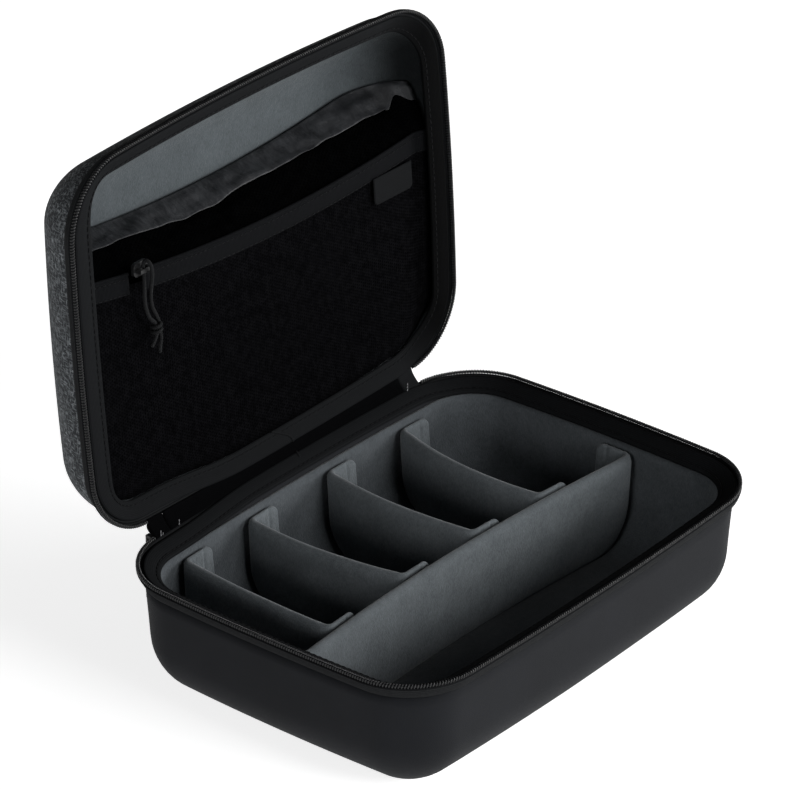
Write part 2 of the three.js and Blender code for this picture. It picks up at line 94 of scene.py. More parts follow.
CORNER_STEPS, LONG_STEPS, SHORT_STEPS = 14, 30, 18  # points along each stretch of an outline
LABEL_X, LABEL_W, LABEL_H = 76, 27, 13

hinge = next(j for j in frame["joints"] if j["name"] == "lid_hinge")
HINGE_Y, HINGE_Z = (v / MM for v in hinge["pos_m"][1:])
OPEN = math.radians(-hinge["range_deg"][0])


# --- where things are -----------------------------------------------------------------------
def outline(inset):
    """The plan outline, counter-clockwise from the right-hand end of the back right corner."""
    a, b = HALF_W - inset, HALF_D - inset
    r = max(CORNER_R - inset, LEAST_R)
    signs = ((1, 1), (-1, 1), (-1, -1), (1, -1))
    points = []
    for i, (sx, sy) in enumerate(signs):
        turn = np.linspace(i, i + 1, CORNER_STEPS + 1) * math.pi / 2
        points += [(sx * (a - r) + r * math.cos(t), sy * (b - r) + r * math.sin(t)) for t in turn]
        nx, ny = signs[(i + 1) % 4]
        steps = LONG_STEPS if i % 2 == 0 else SHORT_STEPS
        for f in np.arange(1, steps + 1) / (steps + 1):
            x = (sx + (nx - sx) * f) * (a - r) + r * math.cos(turn[-1])
            y = (sy + (ny - sy) * f) * (b - r) + r * math.sin(turn[-1])
            points.append((x, y))
    x, y = np.array(points).T
    return np.stack([x * (1 - BOW_SHORT * (y / b) ** 2), y * (1 - BOW_LONG * (x / a) ** 2)], 1)


def back_left_first(loop):
    return np.roll(loop, -(CORNER_STEPS + 1 + LONG_STEPS), axis=0)


def level(inset, z):
    plan = outline(inset)
    return np.column_stack([plan, np.full(len(plan), float(z))])


def long_side_y(x, inset):
    return (HALF_D - inset) * (1 - BOW_LONG * (x / (HALF_W - inset)) ** 2)


def short_side_x(y, inset):
    return (HALF_W - inset) * (1 - BOW_SHORT * (y / (HALF_D - inset)) ** 2)


def as_drawn(points):
    return np.asarray(points, float)


def open_lid(points):
    """Swings points of the closed lid to where the open lid stands."""
    p = np.array(points, float)
    dy, dz = p[..., 1] - HINGE_Y, p[..., 2] - HINGE_Z
    p[..., 1] = HINGE_Y + dy * math.cos(OPEN) + dz * math.sin(OPEN)
    p[..., 2] = HINGE_Z - dy * math.sin(OPEN) + dz * math.cos(OPEN)
    return p


def lid_rim(points):
    """The same, with the bow of the lid's rim, and its lean and draw towards its far side."""
    p = np.array(points, float)
    up = np.clip((p[..., 2] - PARTING_Z) / (LID_TOP - PARTING_Z), 0, 1)
    far = (HALF_D - p[..., 1]) / (2 * HALF_D)
    p[..., 2] += LID_RIM_BOW * (1 - up) * (1 - np.minimum(1, (p[..., 0] / HALF_W) ** 2)) - LID_LEAN * up * far
    p[..., 0] *= 1 - LID_SIDE_DRAW * up / HALF_W
    p[..., 1] += LID_FAR_DRAW * up * far
    return open_lid(p)


def mirrored(profile):
    return [(inset, 2 * PARTING_Z - z) for inset, z in profile]


def inner_inset(z):
    """How far the inside of the base's lining stands in from the rim at a height."""
    floor = FLOOR + GAP + LINING
    inset = LIP + WALL + GAP + LINING + DRAFT * (1 - (z - floor) / (WALL_TOP - floor))
    up = np.minimum(INNER_R, z - floor)
    return inset + INNER_R - np.sqrt(np.maximum(0, INNER_R**2 - (INNER_R - up) ** 2))


def bumpy(points, size, height, seed=0):
    """Smooth hills and hollows, size across and up to height high, at each point."""
    shift = Vector((seed * 7.3, seed * 3.1, seed * 5.7))
    flat = np.reshape(points, (-1, 3)) / size
    hills = [noise.noise(Vector(p) + shift) for p in flat]
    return height * np.reshape(hills, np.shape(points)[:-1])


# --- meshes ---------------------------------------------------------------------------------
def make_mesh(name, points, faces, lay=None, smooth=True):
    """A mesh object from points in millimetres. lay holds the cloth's own place of each corner."""
    mesh = bpy.data.meshes.new(name)
    mesh.from_pydata((np.asarray(points) * MM).tolist(), [], [list(f) for f in faces])
    if lay is not None:
        layer = mesh.uv_layers.new(name="lay")
        layer.data.foreach_set("uv", (np.asarray(lay, np.float32) * MM).ravel())
    mesh.polygons.foreach_set("use_smooth", [smooth] * len(mesh.polygons))
    mesh.update()
    piece = bpy.data.objects.new(name, mesh)
    bpy.context.scene.collection.objects.link(piece)
    return piece


def finish_piece(piece, material, body, nodes=()):
    piece.data.materials.append(material)
    if body:
        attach(piece, body)
    if nodes:
        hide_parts(*nodes)
    return piece


def lengths_along(line, closed=False):
    line = np.vstack([line, line[:1]]) if closed else np.asarray(line)
    steps = np.linalg.norm(np.diff(line, axis=0), axis=1)
    return np.concatenate([[0], np.cumsum(steps)])


def resample(line, count):
    """Points at equal steps along an open line."""
    s = lengths_along(line)
    at = np.linspace(0, s[-1], count)
    return np.stack([np.interp(at, s, np.asarray(line)[:, k]) for k in range(3)], 1)


def grid_faces(rows, cols, wrap_rows, wrap_cols, u, v):
    """Quads of a grid, and the cloth's place (u along a row, v across rows) of each corner."""
    faces, lay = [], []
    for i in range(rows if wrap_rows else rows - 1):
        j = (i + 1) % rows
        for k in range(cols if wrap_cols else cols - 1):
            m = (k + 1) % cols
            faces.append((i * cols + k, i * cols + m, j * cols + m, j * cols + k))
            lay += [(u[k], v[i]), (u[k + 1], v[i]), (u[k + 1], v[i + 1]), (u[k], v[i + 1])]
    return faces, lay


def loft(name, loops, place=as_drawn, wrap=False, closed=True, rough=None):
    """Loops of equal length, joined in order. wrap makes a ring of them, and without it the
    first and last loop are closed with a fan."""
    loops = np.array([place(loop) for loop in loops])
    if rough:
        loops = rough(loops)
    rows, cols = loops.shape[:2]
    middle = loops[rows // 2]
    u = lengths_along(middle, closed=closed)
    v = lengths_along(loops[:, 0], closed=wrap)
    faces, lay = grid_faces(rows, cols, wrap, closed, u, v)
    points = loops.reshape(-1, 3).tolist()
    if not wrap:
        for row in (0, rows - 1):
            centre = len(points)
            points.append(loops[row].mean(0).tolist())
            ring = range(cols if closed else cols - 1)
            for k in ring:
                m = (k + 1) % cols
                pair = (row * cols + m, row * cols + k) if row == 0 else (row * cols + k, row * cols + m)
                faces.append((*pair, centre))
                lay += [(u[k], v[row]), (u[k + 1], v[row]), (u[k], v[row])]
    if closed and signed_volume(points, faces) < 0:
        faces, lay = turned(faces, lay)
    return make_mesh(name, points, faces, lay)


def signed_volume(points, faces):
    p = np.asarray(points)
    total = 0.0
    for face in faces:
        for k in range(1, len(face) - 1):
            total += np.dot(p[face[0]], np.cross(p[face[k]], p[face[k + 1]]))
    return total


def turned(faces, lay):
    """The same faces, facing the other way."""
    out, at = [], 0
    for face in faces:
        n = len(face)
        out += lay[at:at + n][::-1]
        at += n
    return [tuple(reversed(f)) for f in faces], out


def sheet(name, front, back, place=as_drawn):
    """A closed sheet between two grids of points of the same size."""
    front, back = place(front), place(back)
    rows, cols = front.shape[:2]
    u = lengths_along(front[rows // 2])
    v = lengths_along(front[:, cols // 2])
    faces, lay = grid_faces(rows, cols, False, False, u, v)
    n = rows * cols
    back_faces, back_lay = turned(faces, lay)
    faces += [tuple(n + k for k in f) for f in back_faces]
    lay += back_lay
    edge = [(0, k, u[k], v[0]) for k in range(cols)]
    edge += [(i, cols - 1, u[-1], v[i]) for i in range(1, rows)]
    edge += [(rows - 1, k, u[k], v[-1]) for k in range(cols - 2, -1, -1)]
    edge += [(i, 0, u[0], v[i]) for i in range(rows - 2, 0, -1)]
    for a, b in zip(edge, edge[1:] + edge[:1]):
        p, q = a[0] * cols + a[1], b[0] * cols + b[1]
        faces.append((q, p, n + p, n + q))
        lay += [(b[2], b[3]), (a[2], a[3]), (a[2], a[3]), (b[2], b[3])]
    points = np.vstack([front.reshape(-1, 3), back.reshape(-1, 3)])
    if signed_volume(points, faces) < 0:
        faces, lay = turned(faces, lay)
    return make_mesh(name, points, faces, lay)


def tube_points(line, radius, sides, flat=1.0):
    """Rings round a line, carried along it without twisting. flat narrows them across."""
    line = np.asarray(line, float)
    ahead = np.gradient(line, axis=0)
    ahead /= np.linalg.norm(ahead, axis=1)[:, None]
    side = np.cross(ahead[0], (0, 0, 1) if abs(ahead[0][2]) < 0.9 else (1, 0, 0))
    radii = np.broadcast_to(radius, (len(line),))
    turn = np.arange(sides) * 2 * math.pi / sides
    rings = []
    for p, t, r in zip(line, ahead, radii):
        side = side - t * np.dot(side, t)
        side /= np.linalg.norm(side)
        up = np.cross(t, side)
        rings.append(p + r * (np.outer(np.cos(turn), side) + flat * np.outer(np.sin(turn), up)))
    return np.array(rings)


def tubes(name, lines, radius, sides=6, place=as_drawn, flat=1.0):
    """Separate round-ended tubes in one mesh."""
    points, faces, lay = [], [], []
    for line in lines:
        rings = tube_points(place(line), radius, sides, flat)
        rows = len(rings)
        u = np.arange(sides + 1) * 2 * math.pi * np.max(radius) / sides
        some, places = turned(*grid_faces(rows, sides, False, True, u, lengths_along(place(line))))
        at = len(points)
        faces += [tuple(at + k for k in f) for f in some]
        lay += places
        faces.append(tuple(at + k for k in range(sides)))
        faces.append(tuple(at + (rows - 1) * sides + k for k in reversed(range(sides))))
        lay += [(0, 0)] * (2 * sides)
        points += rings.reshape(-1, 3).tolist()
    return make_mesh(name, points, faces, lay)


def stitches(name, line, pitch, long, thick, lift, material, body, place=as_drawn, up=(0, 0, 1)):
    """A row of thread bits along a line: each rises out of the cloth and goes back in."""
    s = lengths_along(line)
    up = np.asarray(up, float)
    bits = []
    for k in range(int((s[-1] - long) / pitch) + 1):
        at = k * pitch + long * np.array([0, 0.12, 0.5, 0.88, 1])
        bit = np.stack([np.interp(at, s, line[:, q]) for q in range(3)], 1)
        bits.append(bit + np.outer([-0.35, 0.05, lift, 0.05, -0.35], up))
    piece = tubes(name, bits, thick / 2, 5, place)
    return finish_piece(piece, material, body)


# --- materials ------------------------------------------------------------------------------
def new_material(name, **settings):
    material = bpy.data.materials.new(name)
    material.use_nodes = True
    shader = material.node_tree.nodes["Principled BSDF"]
    for key, value in settings.items():
        shader.inputs[key.replace("_", " ")].default_value = value
    return material, material.node_tree, shader


def node(tree, kind, sockets=(), **properties):
    n = tree.nodes.new("ShaderNode" + kind)
    for key, value in properties.items():
        setattr(n, key, value)
    for key, value in dict(sockets).items():
        if isinstance(value, bpy.types.NodeSocket):
            tree.links.new(value, n.inputs[key])
        else:
            n.inputs[key].default_value = value
    return n


def sums(tree, how, a, b=0.0):
    return node(tree, "Math", {0: a, 1: b}, operation=how).outputs[0]


def ramp(tree, value, low, high, to_low=0.0, to_high=1.0):
    sockets = {"Value": value, "From Min": low, "From Max": high, "To Min": to_low, "To Max": to_high}
    return node(tree, "MapRange", sockets).outputs[0]


def blend_colour(tree, share, a, b):
    mix = node(tree, "Mix", {0: share}, data_type="RGBA")
    for key, value in ((6, a), (7, b)):
        if isinstance(value, bpy.types.NodeSocket):
            tree.links.new(value, mix.inputs[key])
        else:
            mix.inputs[key].default_value = (*value, 1)
    return mix.outputs[2]


def object_place(tree, stretch=(1, 1, 1)):
    """Where a point is in the row frame, stretched, so that grain can run one way."""
    place = node(tree, "TexCoord").outputs["Object"]
    return node(tree, "Mapping", {"Vector": place, "Scale": stretch}).outputs[0]


def speckle(tree, place, scale, detail=2.0):
    return node(tree, "TexNoise", {"Vector": place, "Scale": scale, "Detail": detail}).outputs[0]


def cloth_place(tree):
    """The cloth's own place: u along the piece and v across it, in metres."""
    lay = node(tree, "UVMap", uv_map="lay").outputs[0]
    parts = node(tree, "SeparateXYZ", {0: lay})
    return parts.outputs[0], parts.outputs[1], lay


def wave(tree, value, pitch):
    """A ridge every pitch metres, from 0 to 1."""
    turns = sums(tree, "MULTIPLY", value, 2 * math.pi / pitch)
    return ramp(tree, sums(tree, "SINE", turns), -1, 1)


def set_surface(tree, shader, colour, rough, height, depth):
    tree.links.new(colour, shader.inputs["Base Color"])
    tree.links.new(rough, shader.inputs["Roughness"])
    bump = node(tree, "Bump", {"Height": height, "Strength": 1.0, "Distance": depth})
    tree.links.new(bump.outputs[0], shader.inputs["Normal"])


def moulded_cloth():
    """Smooth charcoal cloth over the base: a fine tight grain with faint cloudy variation."""
    material, tree, shader = new_material(
        "moulded_cloth", Sheen_Weight=0.01, Sheen_Roughness=0.5, Specular_IOR_Level=0.09)
    place = object_place(tree)
    grain = speckle(tree, place, 2600, 3)
    cloud = speckle(tree, place, 38, 3)
    share = sums(tree, "MULTIPLY", grain, ramp(tree, cloud, 0.3, 0.7, 0.7, 1.1))
    colour = blend_colour(tree, share, (0.0035, 0.0039, 0.0048), (0.0112, 0.0124, 0.0150))
    set_surface(tree, shader, colour, ramp(tree, grain, 0.3, 0.7, 0.62, 0.85), grain, 0.00012)
    return material


def heather_cloth():
    """Dark grey cloth flecked with lighter fibres, which run both ways."""
    material, tree, shader = new_material(
        "heather_cloth", Sheen_Weight=0.05, Sheen_Roughness=0.5, Specular_IOR_Level=0.1)
    upright = speckle(tree, object_place(tree, (1, 1, 0.28)), 1300, 2)
    across = speckle(tree, object_place(tree, (0.3, 0.3, 1.3)), 1200, 2)
    flecks = ramp(tree, sums(tree, "MAXIMUM", upright, across), 0.5, 0.72)
    cloud = ramp(tree, speckle(tree, object_place(tree), 160, 3), 0.35, 0.65, 0.55, 1.15)
    colour = blend_colour(
        tree, sums(tree, "MULTIPLY", flecks, cloud), (0.019, 0.021, 0.0235), (0.176, 0.191, 0.202))
    set_surface(tree, shader, colour, ramp(tree, flecks, 0, 1, 0.92, 0.75), flecks, 0.0002)
    return material


def painted_end_shade(tree, colour, shade):
    """Paints shade onto a cloth towards its +x end, where the lid's right-hand wall shades it.
    shade holds the two x in metres between which that happens, and the share left."""
    if not shade:
        return colour
    # Painted shade: the colour fades towards black between x0 and x1.
    across = node(tree, "SeparateXYZ", {0: object_place(tree)}).outputs[0]
    x0, x1, share = shade
    mix = node(tree, "Mix", {0: ramp(tree, across, x0, x1, 0, 1 - share)}, data_type="RGBA")
    tree.links.new(colour, mix.inputs[6])
    mix.inputs[7].default_value = (0, 0, 0, 1)
    return mix.outputs[2]


def tricot(name, dark, light, fuzz, shade=None):
    """Brushed knit: fine upright wales under a nap that lies a little differently in places, with painted
    shade towards one end when shade is given.
    """
    material, tree, shader = new_material(
        name, Sheen_Weight=fuzz, Sheen_Roughness=0.4, Specular_IOR_Level=0.01)
    place = object_place(tree)
    fibre = speckle(tree, object_place(tree, (1, 1, 0.35)), 2400, 2)
    nap = speckle(tree, place, 85, 4)
    patch = speckle(tree, place, 420, 3)
    share = sums(tree, "ADD", ramp(tree, nap, 0.3, 0.7, 0.12, 0.32), ramp(tree, fibre, 0.25, 0.75, 0, 0.4))
    share = sums(tree, "ADD", share, ramp(tree, patch, 0.3, 0.7, 0.05, 0.22))
    # With shade given, the colour gets painted shade towards the +x end.
    colour = painted_end_shade(tree, blend_colour(tree, share, dark, light), shade)
    height = sums(tree, "ADD", fibre, sums(tree, "MULTIPLY", patch, 0.8))
    set_surface(tree, shader, colour, ramp(tree, nap, 0.3, 0.7, 0.86, 1), height, 0.00025)
    return material


def ribbed_tape(name, dark, light, pitch, depth=0.00015, shade=None):
    """Woven tape: close cords along its length, crossed by a finer weft."""
    material, tree, shader = new_material(
        name, Sheen_Weight=0.005, Sheen_Roughness=0.4, Specular_IOR_Level=0.02)
    u, v, _ = cloth_place(tree)
    cords = wave(tree, v, pitch)
    weft = wave(tree, u, 0.0006)
    weave = sums(tree, "ADD", sums(tree, "MULTIPLY", cords, 0.65), sums(tree, "MULTIPLY", weft, 0.35))
    cloud = speckle(tree, object_place(tree), 900, 3)
    share = sums(tree, "MULTIPLY", weave, ramp(tree, cloud, 0.3, 0.7, 0.6, 1.2))
    # With shade given, the colour gets painted shade towards the +x end.
    colour = painted_end_shade(tree, blend_colour(tree, share, dark, light), shade)
    set_surface(tree, shader, colour, ramp(tree, weave, 0, 1, 0.9, 0.66), weave, depth)
    return material


def net(name, dark, light, pitch):
    """Knitted net: rows of little round holes, set half a step over in every other row."""
    material, tree, shader = new_material(name, Specular_IOR_Level=0.0)
    u, v, _ = cloth_place(tree)
    across = wave(tree, sums(tree, "ADD", u, sums(tree, "MULTIPLY", v, 0.577)), pitch)
    other = wave(tree, sums(tree, "SUBTRACT", u, sums(tree, "MULTIPLY", v, 0.577)), pitch)
    rows = wave(tree, v, pitch * 0.866)
    holes = sums(tree, "MULTIPLY", sums(tree, "MULTIPLY", across, other), rows)
    threads = ramp(tree, holes, 0.05, 0.4, 1, 0.35)
    cloud = ramp(tree, speckle(tree, object_place(tree), 260, 3), 0.35, 0.65, 0.6, 1.1)
    fray = ramp(tree, speckle(tree, object_place(tree, (1, 1, 0.45)), 1100, 2), 0.35, 0.65, 0.5, 1.15)
    colour = blend_colour(
        tree, sums(tree, "MULTIPLY", threads, sums(tree, "MULTIPLY", cloud, fray)), dark, light)
    set_surface(tree, shader, colour, ramp(tree, threads, 0, 1, 1, 0.6), threads, 0.0003)
    return material


def thin_nylon():
    """Close plain-woven nylon with a low sheen, and creases finer than the mesh holds, with painted shade in
    their hollows and painted highlight on their ridges.
    """
    material, tree, shader = new_material(
        "thin_nylon", Specular_IOR_Level=0.25)
    place = object_place(tree)
    crease_and_painted_shade = speckle(tree, object_place(tree, (1.6, 1, 0.7)), 110, 4)
    weave = speckle(tree, place, 2500, 2)
    # The colour follows the creases: painted shade in the hollows, painted highlight on the ridges.
    colour = blend_colour(
        tree, ramp(tree, crease_and_painted_shade, 0.3, 0.7), (0.0101, 0.0107, 0.012), (0.0261, 0.0276, 0.0305))
    height = sums(tree, "ADD", sums(tree, "MULTIPLY", crease_and_painted_shade, 4), sums(tree, "MULTIPLY", weave, 0.3))
    set_surface(tree, shader, colour, ramp(tree, weave, 0.3, 0.7, 0.45, 0.62), height, 0.0004)
    return material


def polished(name, dark, light, rough, **settings):
    """Coated metal or nylon wire: nearly even, with slight handling marks."""
    material, tree, shader = new_material(name, **settings)
    marks = speckle(tree, object_place(tree), 700, 4)
    colour = blend_colour(tree, marks, dark, light)
    set_surface(tree, shader, colour, ramp(tree, marks, 0.3, 0.7, rough, rough + 0.18), marks, 0.00003)
    return material


def thread_material(name, dark, light):
    """Twisted sewing thread."""
    material, tree, shader = new_material(name, Sheen_Weight=0.01, Specular_IOR_Level=0.05)
    u, v, _ = cloth_place(tree)
    twist = wave(tree, sums(tree, "ADD", u, v), 0.0004)
    colour = blend_colour(tree, twist, dark, light)
    set_surface(tree, shader, colour, ramp(tree, twist, 0, 1, 0.8, 0.55), twist, 0.00008)
    return material


SHELL = moulded_cloth()
HEATHER = heather_cloth()
BASE_LINING = tricot("base_tricot", (0.0295, 0.0336, 0.0369), (0.0968, 0.107, 0.116), 0.22)
# The lid lining carries painted shade at its +x end, where the lid's right-hand wall shades it.
LID_LINING = tricot(
    "lid_tricot", (0.0318, 0.0371, 0.0405), (0.0868, 0.0984, 0.105), 0.16, (0.092, 0.112, 0.16))
DIVIDER = tricot("divider_tricot", (0.045, 0.051, 0.0557), (0.148, 0.164, 0.175), 0.22)
BAND = ribbed_tape("zip_band", (0.0048, 0.00512, 0.00576), (0.0176, 0.0184, 0.0192), 0.0011)
BINDING_SHADES = (0.00544, 0.00576, 0.00624), (0.00992, 0.0106, 0.0115)
BINDING = ribbed_tape("rim_binding", *BINDING_SHADES, 0.0009, 0.00005)
# The lid binding is the rim binding with painted shade at its +x end, where the lid's wall shades it.
LID_BINDING = ribbed_tape("lid_binding", *BINDING_SHADES, 0.0009, 0.00005, (0.085, 0.112, 0.12))
HINGE_CLOTH = tricot("hinge_cloth", (0.0006, 0.0006, 0.0008), (0.0022, 0.0023, 0.0026), 0.0)
POCKET_TAPE = ribbed_tape(
    "pocket_tape", (0.00235, 0.0025, 0.00295), (0.00586, 0.00624, 0.00703), 0.0008, 0.00006)
LABEL = ribbed_tape("label_weave", (0.00483, 0.00509, 0.00563), (0.00805, 0.00858, 0.00912), 0.0007, 0.00006)
HOOK_TAPE = ribbed_tape("hook_tape", (0.004, 0.004, 0.0045), (0.014, 0.014, 0.015), 0.0012, 0.0004)
COIL = polished("nylon_coil", (0.004, 0.004, 0.0045), (0.010, 0.010, 0.011), 0.26, Specular_IOR_Level=0.5)
METAL = polished("coated_metal", (0.005, 0.005, 0.0055), (0.013, 0.013, 0.014), 0.34, Metallic=0.4)
RUBBER = polished("matt_rubber", (0.008, 0.008, 0.009), (0.016, 0.016, 0.017), 0.6)
NET = net("pocket_net", (0.00043, 0.00043, 0.00051), (0.00365, 0.00365, 0.00416), 0.0016)
ROOF_NET = net("roof_net", (0.00012, 0.00013, 0.00015), (0.0012, 0.00127, 0.00136), 0.0016)
NYLON = thin_nylon()
THREAD = thread_material("black_thread", (0.003, 0.003, 0.0035), (0.012, 0.012, 0.013))
PALE_THREAD = thread_material("pale_thread", (0.10, 0.10, 0.11), (0.34, 0.34, 0.35))
CORD = thread_material("braided_cord", (0.003, 0.0031, 0.0034), (0.015, 0.0155, 0.0165))


# --- pocket zip's knotted cord --------------------------------------------------------------
def band_top(x):
    return -19.8 - 6.5 * ((x - 35) / 105) ** 2


SLIDER_Y = band_top(SLIDER_X) - 1.5
SLIDER_Z = MESH_Z - MESH_SAG - 3.35
HANG_Z = -2
KNOT_X, KNOT_Y = 4.6, 27.2
TURN_R = CORD_D + 0.25
# Offsets from the slider's middle, as in the part.
LEFT_ROUTE = [
    (0, 0.2, -1.45), (0, 2.2, -1.5), (-0.4, 4.6, -1.8), (-0.8, 8, HANG_Z), (-1.2, 12, HANG_Z),
    (-1.1, 16.5, HANG_Z), (-0.2, 20.5, HANG_Z), (1.4, 23.8, HANG_Z), (3.6, 26.2, HANG_Z),
    (KNOT_X, 28.6, HANG_Z), (KNOT_X, 31.6, HANG_Z), (3, 34.4, HANG_Z), (0.6, 37, HANG_Z),
]
RIGHT_ROUTE = [
    (0, -0.2, -1.45), (0, -2, -1.5), (0.1, -3.7, -2.2), (0.4, -4.3, -3.4), (0.9, -3, -4.7),
    (1.4, -0.5, -5), (2.1, 2.8, -4.3), (2.9, 6.5, -3), (2.9, 10.5, -2.2), (2.6, 15, HANG_Z),
    (3.2, 19.4, HANG_Z), (5, 23.2, HANG_Z),
]
RIGHT_ROUTE += [
    (KNOT_X + TURN_R * math.cos(math.pi / 4 * k), KNOT_Y + k * 0.3,
     HANG_Z - TURN_R * math.sin(math.pi / 4 * k))
    for k in range(17)
]
RIGHT_ROUTE += [(7, 35, HANG_Z), (6, 38.4, HANG_Z), (5.5, 41.6, HANG_Z)]


def smooth_line(points, per_span=8):
    """A centripetal Catmull-Rom curve through the points."""
    p = np.asarray(points, float)
    p = np.vstack([2 * p[0] - p[1], p, 2 * p[-1] - p[-2]])
    out = []
    for a, b, c, d in zip(p, p[1:], p[2:], p[3:]):
        k1 = np.linalg.norm(b - a) ** 0.5
        k2 = k1 + np.linalg.norm(c - b) ** 0.5
        k3 = k2 + np.linalg.norm(d - c) ** 0.5
        for t in np.linspace(k1, k2, per_span, endpoint=False):
            ab = (a * (k1 - t) + b * t) / k1
            bc = (b * (k2 - t) + c * (t - k1)) / (k2 - k1)
            cd = (c * (k3 - t) + d * (t - k2)) / (k3 - k2)
            abc = (ab * (k2 - t) + bc * t) / k2
            bcd = (bc * (k3 - t) + cd * (t - k1)) / (k3 - k1)
            out.append((abc * (k2 - t) + bcd * (t - k1)) / (k2 - k1))
    out.append(p[-2])
    return np.array(out)


def cord_strand(side, route):
    """A braided strand: its skin rises and falls with two sets of threads that cross."""
    place = (SLIDER_X, SLIDER_Y, SLIDER_Z)
    line = open_lid(smooth_line(np.array(route) + place))
    length = lengths_along(line)[-1]
    line = resample(line, int(length / 0.28) + 1)
    sides = 12
    rings = tube_points(line, CORD_D / 2, sides)
    s = lengths_along(line)[:, None] * 2 * math.pi / 2.4
    turn = np.arange(sides) * 2 * math.pi / sides * 3
    relief = 1 + 0.045 * (np.abs(np.sin(s + turn)) + np.abs(np.sin(s - turn)) - 1.2)
    ends = np.minimum(1, np.minimum(np.arange(len(line)), np.arange(len(line))[::-1]) / 2.5 + 0.45)
    rings = line[:, None] + (rings - line[:, None]) * (relief * ends[:, None])[..., None]
    u = np.arange(sides + 1) * math.pi * CORD_D / sides
    faces, lay = grid_faces(len(line), sides, False, True, u, lengths_along(line))
    faces += [tuple(reversed(range(sides))), tuple((len(line) - 1) * sides + k for k in range(sides))]
    lay += [(0, 0)] * (2 * sides)
    points = rings.reshape(-1, 3)
    if signed_volume(points, faces) < 0:
        faces, lay = turned(faces, lay)
    piece = make_mesh(f"pocket_cord_{side}", points, faces, lay)
    finish_piece(piece, CORD, "pocket_zip_slider", [f"pocket_pull_cord_{side}"])


cord_strand("left", LEFT_ROUTE)
cord_strand("right", RIGHT_ROUTE)


# --- shells and linings ---------------------------------------------------------------------
def bowl(top, draft, top_z, r, floor_z, steps):
    out = []
    for t in np.linspace(0, math.pi / 2, steps + 1):
        z = floor_z + r * (1 - math.cos(t))
        out.append((top + draft * (1 - (z - floor_z) / (top_z - floor_z)) + r * (1 - math.sin(t)), z))
    return out


def dome(top, r, ceiling, steps):
    out = []
    wall_top = 2 * PARTING_Z - WALL_TOP
    for t in np.linspace(0, math.pi / 2, steps + 1):
        z = ceiling - r * (1 - math.cos(t))
        out.append((top + LID_DRAFT * (z - wall_top) / (ceiling - wall_top) + r * (1 - math.sin(t)), z))
    return out


def rows_between(a, b, steps):
    return [(a[0] + (b[0] - a[0]) * k / steps, a[1] + (b[1] - a[1]) * k / steps) for k in range(1, steps)]


def filled(profile, least=6.0):
    """Adds rows to long straight stretches of a profile, so that the cloth can wander there."""
    out = [profile[0]]
    for a, b in zip(profile, profile[1:]):
        out += rows_between(a, b, max(1, round(math.dist(a, b) / least)))
        out.append(b)
    return out


def shrunk(inset, z, steps):
    """Loops that close a flat floor: smaller and smaller copies of the last outline."""
    whole = level(inset, z)
    return [np.column_stack([whole[:, :2] * f, whole[:, 2]]) for f in np.linspace(0.12, 1, steps)[:-1]]


def cup_loops(outer, inner):
    """Loops of a cup, from the middle of its outside, over the rim, to the middle inside."""
    loops = shrunk(*outer[0], 7) + [level(*p) for p in outer + inner]
    return loops + shrunk(*inner[-1], 7)[::-1]


def wander(size, height, seed, share_at):
    """Moves a shell's loops away from its middle and back by slow hills, by a share at each point."""
    def move(loops):
        hills = bumpy(loops, size, height, seed)
        centre = loops.reshape(-1, 3).mean(0)
        away = loops - centre
        away /= np.linalg.norm(away, axis=-1)[..., None] + 1e-9
        return loops + away * (hills * share_at(loops))[..., None]
    return move


def foam_edge(inner):
    return [(5.5, FOAM_TOP), (5.5, FOAM_TOP + 0.4), (2.9, 58.2), (inner, 58.2 - 0.51 * (inner - 2.9))]


def base_quiet(loops):
    return np.clip((50 - loops[..., 2]) / 14, 0, 1) * np.clip(loops[..., 2] / 10, 0, 1)


SHELL_IN = LIP + WALL
LINING_OUT = SHELL_IN + GAP
LINING_IN = LINING_OUT + LINING
base_out = filled(bowl(LIP, DRAFT, WALL_TOP, BASE_FILLET, 0, 14) + [(LIP, WALL_TOP)])
base_in = filled(bowl(SHELL_IN, DRAFT, WALL_TOP, INNER_R + 1.8, FLOOR, 10)[::-1])
finish_piece(
    loft("base_moulding", cup_loops(base_out, foam_edge(SHELL_IN) + base_in),
         rough=wander(60, 0.35, 1, base_quiet)),
    SHELL, "base", ["base_shell"])

lining_outer = filled(
    bowl(LINING_OUT, DRAFT, WALL_TOP, INNER_R + 1.5, FLOOR + GAP, 10) + [(LINING_OUT, LINING_TOP)])
lining_inner = filled(
    [(LINING_IN, LINING_TOP)]
    + bowl(LINING_IN, DRAFT, WALL_TOP, INNER_R, FLOOR + GAP + LINING, 14)[::-1], 4)
finish_piece(
    loft("base_lining_cloth", cup_loops(lining_outer, lining_inner)),
    BASE_LINING, "base", ["base_lining"])

LID_SHELL_IN = LIP + LID_WALL
LID_LINING_OUT = LID_SHELL_IN + GAP
LID_LINING_IN = LID_LINING_OUT + LINING
LID_CEILING = LID_TOP - LID_WALL
LID_INNER_R = LID_FILLET - LID_WALL - 1.8
LID_INNER_Z = LID_CEILING - GAP - LINING
MIRROR = 2 * PARTING_Z
lid_out = filled(dome(LIP, LID_FILLET, LID_TOP, 16) + [(LIP, MIRROR - FOAM_TOP)])
lid_in = filled(dome(LID_SHELL_IN, LID_FILLET - LID_WALL, LID_CEILING, 10)[::-1])
finish_piece(
    loft("lid_moulding", cup_loops(lid_out, mirrored(foam_edge(LID_SHELL_IN)) + lid_in), lid_rim),
    HEATHER, "lid", ["lid_shell"])
lid_lining_outer = filled(
    dome(LID_LINING_OUT, LID_FILLET - LID_WALL - GAP, LID_CEILING - GAP, 10)
    + [(LID_LINING_OUT, MIRROR - LINING_TOP)])
